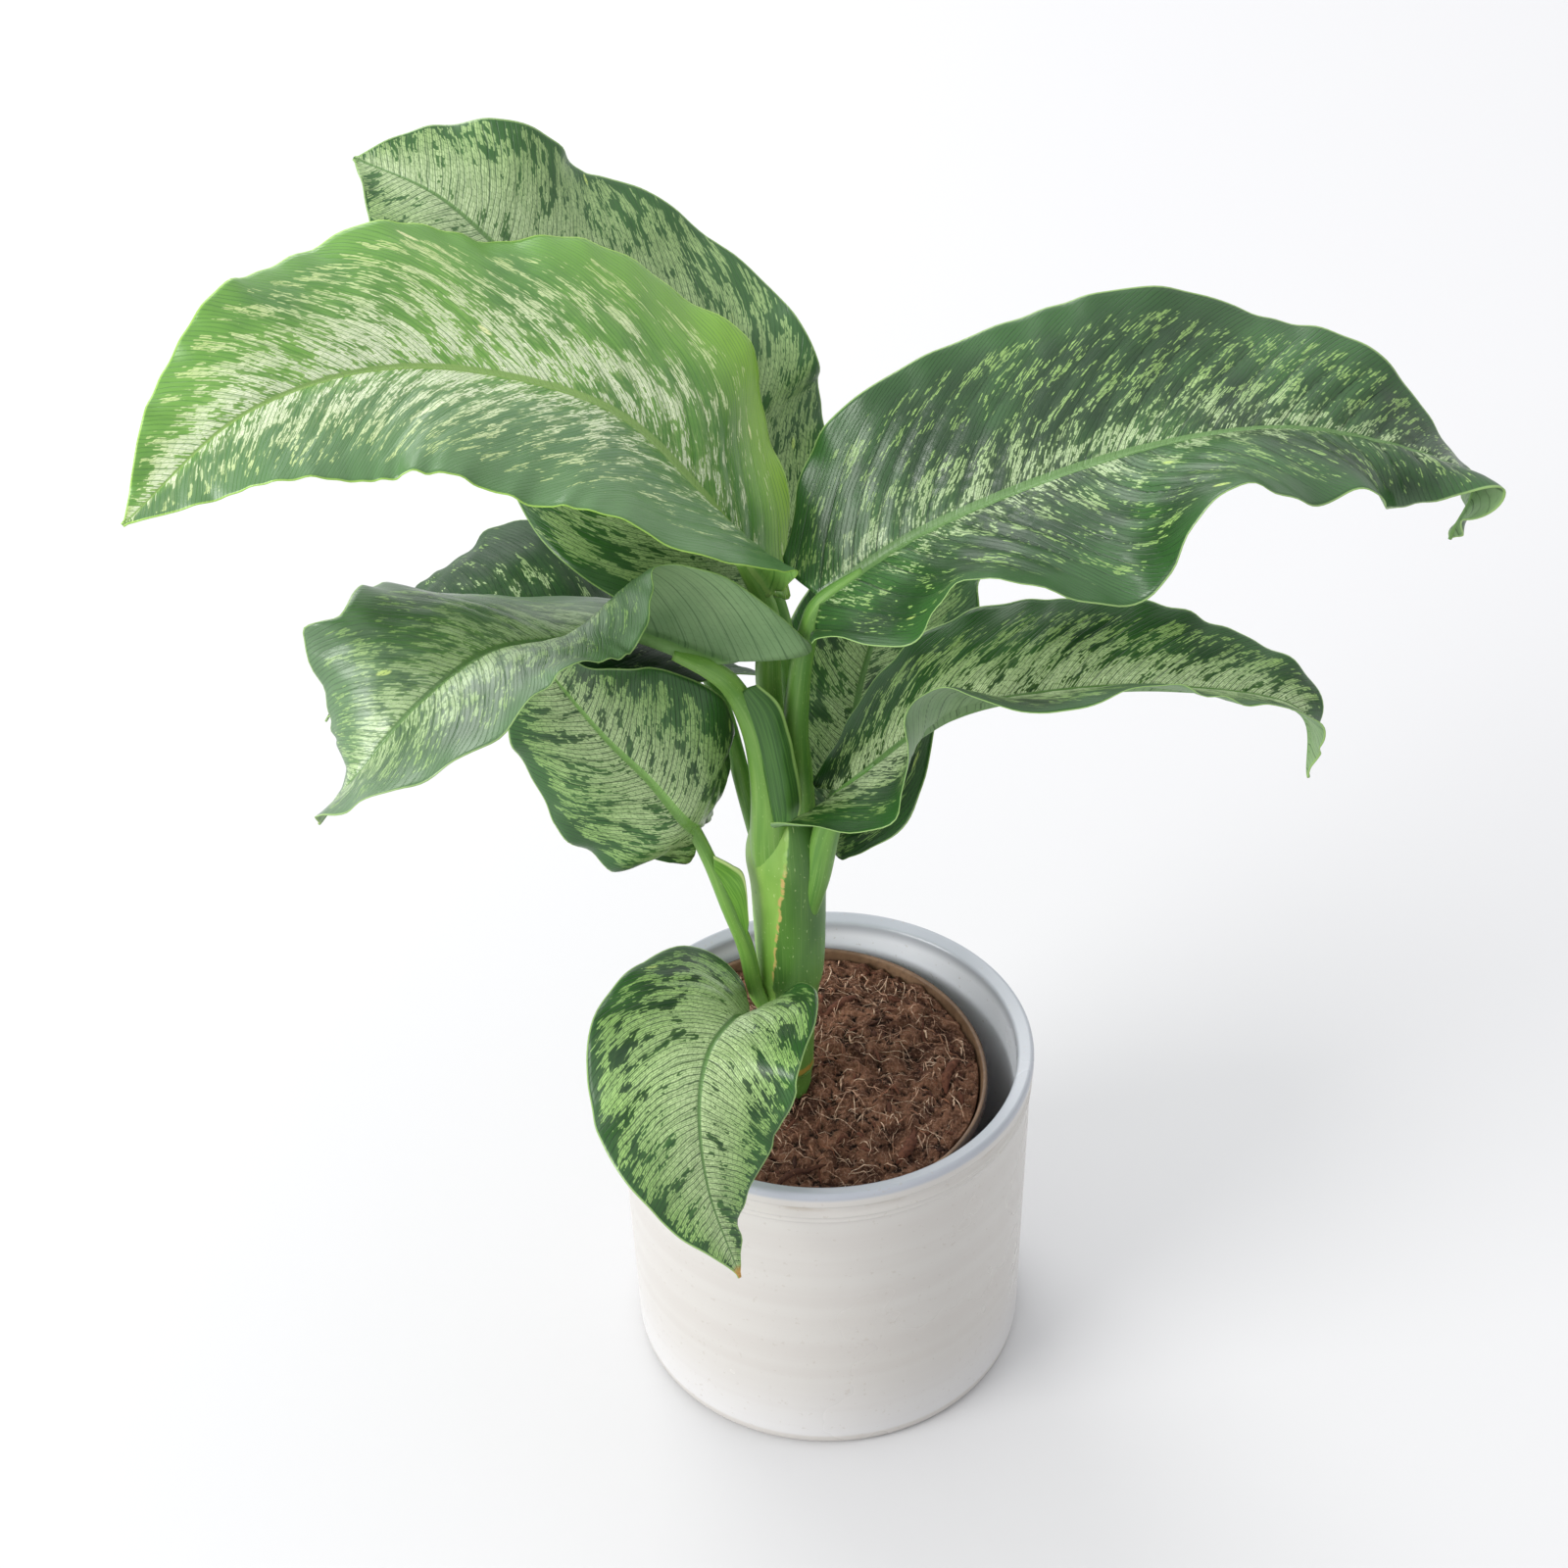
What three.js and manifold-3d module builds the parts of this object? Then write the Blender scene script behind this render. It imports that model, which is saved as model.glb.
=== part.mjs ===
// A potted dieffenbachia: nine variegated leaves on a short cane, rooted in a brown
// nursery pot of peat that stands, leaning a little, inside a glazed outer pot.
// Millimetres, +Z up; the underside of the outer pot is centred on the origin and
// the plant is seen from the -Y side.
import * as THREE from 'three';
import { mergeVertices } from 'three/addons/utils/BufferGeometryUtils.js';
import Module from 'manifold-3d';

const wasm = await Module();
wasm.setup();

// Clearance left between pieces that touch, and the smallest detail that is kept
const GAP = 0.3;
const FINEST_DETAIL = 0.02;

// Outer pot
const POT_HEIGHT = 157;
const POT_RIM_RADIUS = 90;
const POT_BODY_TOP_RADIUS = 88.8;
const POT_BODY_BOTTOM_RADIUS = 87;
const POT_MOUTH_RADIUS = 83;
const POT_WELL_RADIUS = 81;
const POT_FLOOR = 6;
const POT_SEGMENTS = 48;

// Nursery pot, which leans towards the front right
const NURSERY_RIM_CENTRE = new THREE.Vector3(-3, 4, 140);
const NURSERY_LEAN = 5;
const NURSERY_LEAN_HEADING = -55;
const NURSERY_RIM_RADIUS = 74.5;
const NURSERY_BASE_RADIUS = 56;
const NURSERY_WALL = 1.2;
const NURSERY_LIP = 1.2;
const NURSERY_LIP_DEPTH = 5;
const NURSERY_SEGMENTS = 48;

// Peat, its surface this far below the rim of the nursery pot
const PEAT_BELOW_RIM = 2.5;
const PEAT_EDGE_DROP = 1;
const PEAT_CROWN = 3;
const PEAT_RELIEF = 2.2;
const PEAT_SURFACE_RINGS = 7;

// Cane with the wrapped bases of the leaf stalks: x, y, z and radius up the plant
const CANE = [
  [-17, -3, 92, 9],
  [-17, -3, 130, 11],
  [-16, -3, 146, 11],
  [-16, -3, 151, 12],
  [-15, -3, 156, 11],
  [-14, -2, 176, 11],
  [-13, -2, 190, 11.5],
  [-13, -1, 198, 13.5],
  [-13, -1, 212, 14.5],
  [-13, 0, 228, 15],
  [-13, 0, 245, 15.5],
  [-13, 1, 258, 17],
  [-13, 1, 267, 16],
  [-13, 1, 274, 13],
  [-13, 2, 281, 8],
];
const CANE_SIDES = 20;
const CANE_RINGS = 22;
// The outermost sheath laps over itself along a seam on the front of the cane
const LAP_STEP = 1.4;
const LAP_FROM_HEIGHT = 196;
const LAP_HEADING_LOW = -125;
const LAP_HEADING_HIGH = -85;

// Blades: half outline from base to tip as a share of the widest half width,
// and how far the margin runs ahead of the midrib as a share of the same width
const OUTLINE = [0.38, 0.78, 0.94, 1, 1, 0.94, 0.84, 0.69, 0.49, 0.25, 0];
const SWEEP = [-0.5, -0.22, 0.04, 0.14, 0.2, 0.22, 0.22, 0.19, 0.14, 0.07, 0];
const BLADE_THICKNESS = 1;
const TIP_HALF_WIDTH = 0.8;
const MIDRIB_DEPTH = 3;
// Columns across a blade, from the left margin over the midrib to the right margin
const ACROSS = [-1, -0.75, -0.5, -0.25, -0.05, 0, 0.05, 0.25, 0.5, 0.75, 1];
const STALK_SIDES = 8;
const RINGS_PER_STALK_SPAN = 2;
const SHEATH_THICKNESS = 1.2;

// Colours
const POT_GREY = '#d3cfc9';
const NURSERY_BROWN = '#6b4a33';
const PEAT_BROWN = '#4a2f22';
const CANE_GREEN = '#74a548';
const LEAF_GREEN = '#3f7d45';
const YOUNG_LEAF_GREEN = '#7fb155';

// Every leaf. The rib holds points along the midrib from stalk to tip and the face a
// direction that the upper side looks to. Roll turns the whole section about the
// midrib, fold lifts each half from it and curl bends each half further towards its
// margin; they are in degrees, from base to tip. The margin waves have a height, a
// count and a start as a share of one wave, for the left half and the right half. The
// left half is on the left of one who looks from the stalk to the tip from above.
// The stalk holds x, y, z and radius from its socket in the cane to the blade.
const LEAVES = {
  leaf_1: {
    colour: YOUNG_LEAF_GREEN,
    rib: [
      [-17, 10, 378], [-40, 8, 421], [-76, 9, 459],
      [-138, -2, 481], [-190, -31, 481], [-233, -59, 454],
    ],
    // Narrower at the base than the others
    outline: [
      [0.12, 0.6, 0.87, 0.98, 1, 0.94, 0.84, 0.69, 0.49, 0.25, 0],
      [0.12, 0.6, 0.87, 0.98, 1, 0.94, 0.84, 0.69, 0.49, 0.25, 0],
    ],
    face: [0, 0, 1],
    halfWidth: [67, 67],
    lobe: [0, 0.3],
    roll: [15, 10, 15, 20],
    fold: [[65, 35, 15, 10, 5, 0, 0], [15, 30, 35, 25]],
    curl: [[-15, -20, 5], [10, -35, 5]],
    waves: [[4, 4, 0.05], [4, 6, -0.2]],
    rows: 24,
    stalk: [
      [-15, 8, 256, 4], [-15, 8, 290, 5], [-17, 9, 318, 5],
      [-18, 9, 342, 5], [-17, 9, 364, 4.5],
    ],
  },
  leaf_2: {
    colour: LEAF_GREEN,
    rib: [
      [-18, 45, 368], [-44, 52, 405], [-67, 66, 442],
      [-100, 71, 477], [-133, 83, 507], [-166, 96, 519],
    ],
    face: [0, 0, 1],
    halfWidth: [65, 65],
    lobe: [0.2, 0.2],
    roll: [35, 30, 25, 30],
    fold: [[20, 0, 0, 5], [20, 15, 15, 25]],
    curl: [[-25, -30, 15], [5, -20, -5]],
    waves: [[5, 4, 0.45], [6, 4, 0.3]],
    rows: 18,
    stalk: [[-4, 8, 256, 3.8], [-6, 14, 290, 4.5], [-9, 24, 320, 4.3], [-12, 36, 346, 4]],
  },
  leaf_3: {
    colour: LEAF_GREEN,
    rib: [
      [2, -5, 383], [42, -3, 410], [100, -3, 435], [153, -4, 447],
      [194, -3, 443], [238, -3, 425], [233, -8, 402],
    ],
    // A narrower end that twists over and hangs
    outline: [
      [0.38, 0.81, 0.96, 1, 0.98, 0.84, 0.65, 0.42, 0.22, 0.2, 0],
      [0.38, 0.81, 0.96, 1, 0.98, 0.84, 0.65, 0.42, 0.22, 0.2, 0],
    ],
    face: [0.5, 0, 0.85],
    halfWidth: [62, 62],
    lobe: [0.2, 0.2],
    roll: [-20, -15, -15, 0, -5, 30, 110],
    fold: [[10, 25, 25, 25, 25, 20, 30], [5, 5, 0, 20, 10, 5, 25]],
    curl: [[-5, 10, 5, 5, 5, 5, 10], [30, 25, 0, -20, -55, -50, -15]],
    waves: [[4, 4, 0.65], [12, 5, 0.2]],
    rows: 24,
    stalk: [
      [-7, -1, 256, 4], [-7, -1, 290, 4.8], [-8, -1, 320, 5],
      [-6, -1, 346, 4.5], [-2, -2, 368, 4],
    ],
  },
  leaf_4: {
    colour: LEAF_GREEN,
    rib: [
      [-37, -9, 358], [-71, 1, 367], [-95, -16, 375], [-118, -41, 387],
      [-140, -69, 385], [-162, -82, 365], [-180, -77, 340],
    ],
    // The right half is drawn out to a corner shortly before the tip
    outline: [
      [0.38, 0.78, 0.94, 1, 1, 0.94, 0.84, 0.69, 0.49, 0.25, 0],
      [
        0.38, 0.6, 0.78, 0.87, 0.94, 0.98, 1, 1, 1, 0.98, 0.94,
        0.86, 0.78, 0.94, 0.74, 0.6, 0.52, 0.42, 0.34, 0.18, 0,
      ],
    ],
    face: [0, 0, 1],
    halfWidth: [52, 52],
    lobe: [1.15, 0.3],
    roll: [-20, -5, 5, 5, 5, 0],
    fold: [[90, 85, 30, 10, 10, 5], [10, 10, 25, 35, 25, 10]],
    curl: [[25, -75, -20, 15, 10, 0], [-10, -40, -45, -30, -35, -20]],
    waves: [[4, 3, -0.2], [6, 3, -0.5]],
    rows: 20,
    stalk: [
      [-20, -4, 246, 7], [-20, -5, 270, 7.5], [-20, -6, 297, 6.5],
      [-23, -7, 323, 5.5], [-30, -7, 343, 4.5],
    ],
    // The open inner edge of its sheath, from the stalk out to the free edge
    sheath: [
      [[-29, -9, 344], [-26, -11, 348], [-22, -10, 349]],
      [[-25, -11, 331], [-19, -13, 338], [-14, -11, 340]],
      [[-21, -12, 312], [-15, -15, 322], [-10, -12, 324]],
      [[-18, -13, 290], [-12, -17, 300], [-7, -14, 304]],
      [[-17, -13, 284], [-12, -16, 286], [-8, -14, 288]],
    ],
  },
  leaf_5: {
    colour: LEAF_GREEN,
    rib: [
      [9, -9, 297], [47, -8, 329], [84, -18, 346],
      [132, -22, 350], [180, -24, 340], [188, -24, 308],
    ],
    // The right half starts as a wide round lobe
    outline: [
      [0.38, 0.78, 0.94, 1, 1, 0.94, 0.84, 0.69, 0.49, 0.25, 0],
      [0.6, 1.1, 1.1, 1, 1, 0.94, 0.84, 0.69, 0.49, 0.25, 0],
    ],
    face: [0, 0, 1],
    halfWidth: [43, 43],
    lobe: [0.5, 1],
    roll: [25, 0, 0, -15],
    fold: [[35, 35, 20, 20], [10, -10, 45, 35, 35, 30, 25, 20, 20]],
    curl: [[-5, -15, 0], [20, 0, -15, -20, -5, 0, 0, -5, -5]],
    waves: [[3, 3, 0.55], [2, 5, 0.55]],
    rows: 18,
    stalk: [[-5, -8, 236, 4], [-1, -10, 257, 5.5], [4, -9, 281, 5.5]],
  },
  leaf_6: {
    colour: LEAF_GREEN,
    rib: [
      [2, 23, 256], [13, 38, 281], [21, 64, 303],
      [33, 87, 327], [47, 108, 353], [63, 128, 380],
    ],
    face: [0, -0.8, 0.6],
    halfWidth: [36, 50],
    lobe: [0.3, 0.35],
    roll: [15, 15, 0, -5],
    fold: [[30, 25, 30, 15], [20, 20, 20, 15]],
    curl: [[0, -5, 20], [25, 15, 15]],
    waves: [[4, 3, -0.35], [5, 3, -0.55]],
    rows: 14,
    stalk: [[-7, 7, 216, 2.5], [-4, 12, 230, 3.4], [-1, 18, 244, 3.4]],
  },
  leaf_7: {
    colour: LEAF_GREEN,
    rib: [
      [-48, -7, 278], [-53, -18, 292], [-65, -16, 310],
      [-81, -13, 329], [-96, -10, 351], [-106, -11, 369],
    ],
    face: [-0.2, -0.8, 0.7],
    halfWidth: [42, 42],
    lobe: [0.8, 0.8],
    roll: [-30, 0, 15, 25],
    fold: [[5, 10, 10, 15], [-10, 10, 20, 20]],
    curl: [[-55, -40, 10], [-55, -35, 15]],
    waves: [[3, 3, 0.15], [4, 3, -0.05]],
    rows: 14,
    stalk: [
      [-20, -6, 178, 2.5], [-27, -9, 194, 3.4], [-31, -12, 222, 3.4],
      [-37, -12, 243, 3.2], [-43, -9, 262, 3],
    ],
    // The wing of its sheath, from the stalk out to the free edge
    sheath: [
      [[-41, -11, 257], [-42, -12, 263], [-42, -13, 270]],
      [[-37, -13, 245], [-36, -13, 256], [-35, -14, 266]],
      [[-33, -14, 233], [-32, -14, 247], [-30, -14, 259]],
      [[-31, -14, 222], [-30, -14, 229], [-29, -14, 237]],
    ],
  },
  leaf_8: {
    colour: LEAF_GREEN,
    rib: [
      [-47, 38, 334], [-86, 38, 348], [-122, 45, 356],
      [-155, 52, 345], [-182, 61, 319], [-204, 67, 286],
    ],
    face: [0, 0, 1],
    halfWidth: [49, 49],
    lobe: [1, 1],
    roll: [-15, 5, 5, 0],
    fold: [[10, -5, 0, 0], [10, 15, 10, 10]],
    curl: [[-5, -25, 0], [-15, -30, 0]],
    waves: [[2, 3, 0.3], [3, 3, 0.15]],
    rows: 14,
    stalk: [[-24, 9, 256, 3], [-29, 14, 282, 3.6], [-35, 24, 308, 3.5], [-41, 32, 324, 3.3]],
  },
  leaf_9: {
    colour: LEAF_GREEN,
    rib: [
      [-30, -27, 196], [-36, -47, 214], [-46, -69, 216],
      [-50, -90, 204], [-47, -110, 181], [-36, -130, 155],
    ],
    face: [0, -0.3, 1],
    halfWidth: [38, 46],
    lobe: [0.5, 0.5],
    roll: [0, 5, 15, 30],
    fold: [[55, 20, 0, 5], [50, 5, 10, 15]],
    curl: [[10, -25, -10], [0, -15, 0]],
    waves: [[3, 3, 0.2], [4, 3, -0.85]],
    rows: 14,
    stalk: [[-17, -6, 160, 2.5], [-22, -13, 168, 3.2], [-27, -21, 181, 3]],
  },
};

const radians = THREE.MathUtils.degToRad;

// Smooth curve through evenly spaced numbers, read at a share of its length
function along(values, share) {
  const spans = values.length - 1;
  const place = THREE.MathUtils.clamp(share, 0, 1) * spans;
  const span = Math.min(Math.floor(place), spans - 1);
  const f = place - span;
  const start = values[span];
  const end = values[span + 1];
  const before = span > 0 ? values[span - 1] : 2 * start - end;
  const after = span < spans - 1 ? values[span + 2] : 2 * end - start;
  const linear = (end - before) * f;
  const square = (2 * before - 5 * start + 4 * end - after) * f * f;
  const cube = (3 * start - before - 3 * end + after) * f * f * f;
  return 0.5 * (2 * start + linear + square + cube);
}

function pointAlong(points, share) {
  const x = along(points.map((p) => p[0]), share);
  const y = along(points.map((p) => p[1]), share);
  const z = along(points.map((p) => p[2]), share);
  return new THREE.Vector3(x, y, z);
}

function directionAlong(points, share) {
  const step = 0.001;
  const ahead = pointAlong(points, Math.min(share + step, 1));
  const behind = pointAlong(points, Math.max(share - step, 0));
  return ahead.sub(behind).normalize();
}

// Closed body from a list of points and a list of triangles
function body(points, triangles) {
  const geometry = new THREE.BufferGeometry();
  const flat = points.flatMap((p) => [p.x, p.y, p.z]);
  geometry.setAttribute('position', new THREE.Float32BufferAttribute(flat, 3));
  geometry.setIndex(triangles.flat());
  return geometry;
}

// Body through closed rings of points, with a fan over the first and the last ring
function loft(rings, startCentre, endCentre) {
  const sides = rings[0].length;
  const points = rings.flat();
  const triangles = [];
  for (let k = 0; k < rings.length - 1; k += 1) {
    for (let i = 0; i < sides; i += 1) {
      const here = k * sides + i;
      const next = k * sides + ((i + 1) % sides);
      triangles.push([here, next, next + sides]);
      triangles.push([here, next + sides, here + sides]);
    }
  }
  const start = points.push(startCentre) - 1;
  const end = points.push(endCentre) - 1;
  const last = (rings.length - 1) * sides;
  for (let i = 0; i < sides; i += 1) {
    const next = (i + 1) % sides;
    triangles.push([start, next, i]);
    triangles.push([end, last + i, last + next]);
  }
  return body(points, triangles);
}

// Body of revolution about the Z axis from a profile that starts and ends on it
function turned(profile, segments) {
  const points = profile.map(([radius, height]) => new THREE.Vector2(radius, height));
  const geometry = new THREE.LatheGeometry(points, segments);
  geometry.rotateX(Math.PI / 2);
  return geometry;
}

// Round stalk through points that hold x, y, z and radius, grown by an allowance
function roundStalk(points, sides, rings, allowance, radiusAt = () => 0) {
  const loops = [];
  const radii = points.map((p) => p[3]);
  for (let k = 0; k <= rings; k += 1) {
    const share = k / rings;
    const centre = pointAlong(points, share);
    const direction = directionAlong(points, share);
    const side = new THREE.Vector3(0, 1, 0).cross(direction).normalize();
    const front = direction.clone().cross(side);
    const height = centre.z;
    if (k === 0) {
      centre.addScaledVector(direction, -allowance);
    }
    if (k === rings) {
      centre.addScaledVector(direction, allowance);
    }
    const loop = [];
    for (let i = 0; i < sides; i += 1) {
      const turn = (i / sides) * 2 * Math.PI;
      const radius = along(radii, share) + allowance + radiusAt(turn, height);
      const point = centre.clone();
      point.addScaledVector(side, radius * Math.cos(turn));
      point.addScaledVector(front, radius * Math.sin(turn));
      loop.push(point);
    }
    loops.push(loop);
  }
  const middle = (loop) => {
    const sum = loop.reduce((total, p) => total.add(p), new THREE.Vector3());
    return sum.divideScalar(loop.length);
  };
  return loft(loops, middle(loops[0]), middle(loops[rings]));
}

// Point of a blade: share of the way from base to tip, and from -1 at the left margin
// over 0 at the midrib to 1 at the right margin
function bladePoint(leaf, share, across) {
  const half = across < 0 ? 0 : 1;
  const outward = Math.abs(across);
  const direction = directionAlong(leaf.rib, share);
  const levelSide = direction.clone().cross(new THREE.Vector3(...leaf.face)).normalize();
  const levelUp = levelSide.clone().cross(direction);
  const roll = radians(along(leaf.roll, share));
  const side = levelSide.multiplyScalar(Math.cos(roll)).addScaledVector(levelUp, Math.sin(roll));
  const up = side.clone().cross(direction);

  const widest = leaf.halfWidth[half];
  const outline = leaf.outline ? leaf.outline[half] : OUTLINE;
  const width = Math.max(widest * along(outline, share), TIP_HALF_WIDTH);
  const fold = radians(along(leaf.fold[half], share));
  const bend = radians(along(leaf.curl[half], share));
  const curl = Math.abs(bend) < 0.0001 ? 0.0001 : bend;
  const slope = fold + curl * outward;
  let sideways = (width * (Math.sin(slope) - Math.sin(fold))) / curl;
  let upwards = (width * (Math.cos(fold) - Math.cos(slope))) / curl;

  const lobe = leaf.lobe[half];
  const sweep = along([SWEEP[0] * lobe, SWEEP[1] * lobe, ...SWEEP.slice(2)], share);
  const lobeRound = outward ** 1.3 * (2.2 - 1.2 * outward ** 2);
  const forwards = widest * sweep * (sweep < 0 ? lobeRound : outward ** 1.5);

  const [height, count, start] = leaf.waves[half];
  const ends = Math.sqrt(Math.max(0, Math.sin(Math.PI * share))) * (1 - share ** 12);
  const wave = height * outward ** 2 * ends * Math.sin(2 * Math.PI * (count * share + start));
  sideways -= wave * Math.sin(slope);
  upwards += wave * Math.cos(slope);

  const point = pointAlong(leaf.rib, share);
  point.addScaledVector(side, half === 1 ? sideways : -sideways);
  point.addScaledVector(up, upwards);
  point.addScaledVector(direction, forwards);
  return point;
}

// Direction square to a surface that is given as point(share, across)
function upFrom(point, share, across) {
  const step = 0.01;
  const ahead = point(Math.min(share + step, 1), across);
  const behind = point(Math.max(share - step, 0), across);
  const right = point(share, Math.min(across + step, 1));
  const left = point(share, Math.max(across - step, -1));
  return right.sub(left).cross(ahead.sub(behind)).normalize();
}

// Thin closed sheet from a grid of upper and lower points, both split alike
function sheet(upper, lower) {
  const rows = upper.length;
  const columns = upper[0].length;
  const middle = (columns - 1) / 2;
  const under = rows * columns;
  const at = (i, j) => i * columns + j;
  const triangles = [];
  const both = (a, b, c) => {
    triangles.push([a, b, c]);
    triangles.push([a + under, c + under, b + under]);
  };
  for (let i = 0; i < rows - 1; i += 1) {
    for (let j = 0; j < columns - 1; j += 1) {
      const corners = [at(i, j), at(i, j + 1), at(i + 1, j + 1), at(i + 1, j)];
      const turn = j < middle ? 1 : 0;
      both(corners[turn], corners[turn + 1], corners[turn + 2]);
      both(corners[turn], corners[turn + 2], corners[(turn + 3) % 4]);
    }
  }
  const edge = (a, b) => {
    triangles.push([a, a + under, b + under]);
    triangles.push([a, b + under, b]);
  };
  for (let j = 0; j < columns - 1; j += 1) {
    edge(at(0, j), at(0, j + 1));
    edge(at(rows - 1, j + 1), at(rows - 1, j));
  }
  for (let i = 0; i < rows - 1; i += 1) {
    edge(at(i, columns - 1), at(i + 1, columns - 1));
    edge(at(i + 1, 0), at(i, 0));
  }
  return body([...upper.flat(), ...lower.flat()], triangles);
}

// Blade of a leaf with a midrib that stands out from its underside
function blade(leaf) {
  const upper = [];
  const lower = [];
  const point = (share, across) => bladePoint(leaf, share, across);
  for (let i = 0; i <= leaf.rows; i += 1) {
    const share = i / leaf.rows;
    const upperRow = [];
    const lowerRow = [];
    for (const across of ACROSS) {
      const normal = upFrom(point, share, across);
      const midrib = across === 0 ? MIDRIB_DEPTH * (1 - share) : 0;
      const middle = point(share, across);
      upperRow.push(middle.clone().addScaledVector(normal, BLADE_THICKNESS / 2));
      lowerRow.push(middle.clone().addScaledVector(normal, -BLADE_THICKNESS / 2 - midrib));
    }
    upper.push(upperRow);
    lower.push(lowerRow);
  }
  return sheet(upper, lower);
}

// Stalk from its socket to just under the midrib
function stalkPoints(leaf) {
  const start = pointAlong(leaf.rib, 0);
  const inside = pointAlong(leaf.rib, 0.07);
  const up = upFrom((share, across) => bladePoint(leaf, share, across), 0.03, 0);
  const radius = leaf.stalk[leaf.stalk.length - 1][3];
  start.addScaledVector(up, -radius * 0.7);
  inside.addScaledVector(up, -radius * 0.5);
  const end = [start.x, start.y, start.z, radius * 0.9];
  const under = [inside.x, inside.y, inside.z, radius * 0.6];
  return [...leaf.stalk, end, under];
}

function stalk(leaf, allowance) {
  const points = stalkPoints(leaf);
  const rings = (points.length - 1) * RINGS_PER_STALK_SPAN;
  return roundStalk(points, STALK_SIDES, rings, allowance);
}

// Wing of a sheath from rows of points that run from the stalk to the free edge
function sheathWing(rows) {
  const grid = rows.map((row) => row.map((p) => new THREE.Vector3(...p)));
  const across = grid[0][2].clone().sub(grid[0][0]);
  const down = grid[grid.length - 1][1].clone().sub(grid[0][1]);
  const normal = across.cross(down).normalize();
  const shift = (side) => (p) => p.clone().addScaledVector(normal, (side * SHEATH_THICKNESS) / 2);
  const upper = grid.map((row) => row.map(shift(1)));
  const lower = grid.map((row) => row.map(shift(-1)));
  return sheet(upper, lower);
}

function toManifold(geometry) {
  const plain = geometry.clone();
  plain.deleteAttribute('normal');
  plain.deleteAttribute('uv');
  const welded = mergeVertices(plain, 0.0001);
  const mesh = new wasm.Mesh({
    numProp: 3,
    vertProperties: new Float32Array(welded.attributes.position.array),
    triVerts: new Uint32Array(welded.index.array),
  });
  return new wasm.Manifold(mesh);
}

function fromManifold(manifold) {
  const mesh = manifold.simplify(FINEST_DETAIL).getMesh();
  const geometry = new THREE.BufferGeometry();
  geometry.setAttribute('position', new THREE.BufferAttribute(mesh.vertProperties, 3));
  geometry.setIndex(new THREE.BufferAttribute(mesh.triVerts, 1));
  return geometry;
}

function named(name, geometry, material) {
  const piece = new THREE.Mesh(geometry, material);
  piece.name = name;
  return piece;
}

// Glazed outer pot: a flat floor, a straight wall, a rounded rim and a fine bead under it
function outerPot() {
  const rim = POT_HEIGHT;
  const wall = POT_BODY_TOP_RADIUS;
  const foot = POT_BODY_BOTTOM_RADIUS;
  const profile = [
    [0, 0],
    [foot - 4, 0],
    [foot - 1.6, 1],
    [foot - 0.4, 3],
    [foot, 7],
    [wall, rim - 17],
    [wall + 0.3, rim - 15.6],
    [POT_RIM_RADIUS - 0.4, rim - 13],
    [POT_RIM_RADIUS - 0.4, rim - 10.6],
    [wall + 0.2, rim - 8.4],
    [wall + 0.3, rim - 7.6],
    [POT_RIM_RADIUS, rim - 5.6],
    [POT_RIM_RADIUS, rim - 2.8],
    [POT_RIM_RADIUS - 0.8, rim - 0.9],
    [POT_RIM_RADIUS - 2.4, rim],
    [POT_RIM_RADIUS - 4.2, rim - 0.6],
    [POT_MOUTH_RADIUS + 0.6, rim - 1.8],
    [POT_MOUTH_RADIUS, rim - 3.2],
    [POT_MOUTH_RADIUS - 0.4, rim - 8],
    [POT_WELL_RADIUS, POT_FLOOR + 6],
    [POT_WELL_RADIUS - 2, POT_FLOOR + 1.5],
    [POT_WELL_RADIUS - 6, POT_FLOOR],
    [0, POT_FLOOR],
  ];
  const glaze = new THREE.MeshStandardMaterial({ color: POT_GREY, roughness: 0.3, metalness: 0 });
  return named('outer_pot', turned(profile, POT_SEGMENTS), glaze);
}

// Height of the nursery pot, which stands on the lowest point of its leaning base
function nurseryHeight() {
  const lean = radians(NURSERY_LEAN);
  const dip = NURSERY_BASE_RADIUS * Math.sin(lean);
  return (NURSERY_RIM_CENTRE.z - POT_FLOOR - GAP - dip) / Math.cos(lean);
}

// Moves what was made upright, with its rim at height zero, into the leaning pot
function leaned(geometry) {
  const heading = radians(NURSERY_LEAN_HEADING);
  const axis = new THREE.Vector3(-Math.sin(heading), Math.cos(heading), 0);
  const turn = new THREE.Quaternion().setFromAxisAngle(axis, radians(NURSERY_LEAN));
  geometry.applyQuaternion(turn);
  geometry.translate(NURSERY_RIM_CENTRE.x, NURSERY_RIM_CENTRE.y, NURSERY_RIM_CENTRE.z);
  return geometry;
}

// Inner radius of the nursery pot at a depth below its rim
function nurseryInside(depth) {
  const share = depth / nurseryHeight();
  const outside = THREE.MathUtils.lerp(NURSERY_RIM_RADIUS - NURSERY_LIP, NURSERY_BASE_RADIUS, share);
  return outside - NURSERY_WALL;
}

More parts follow.
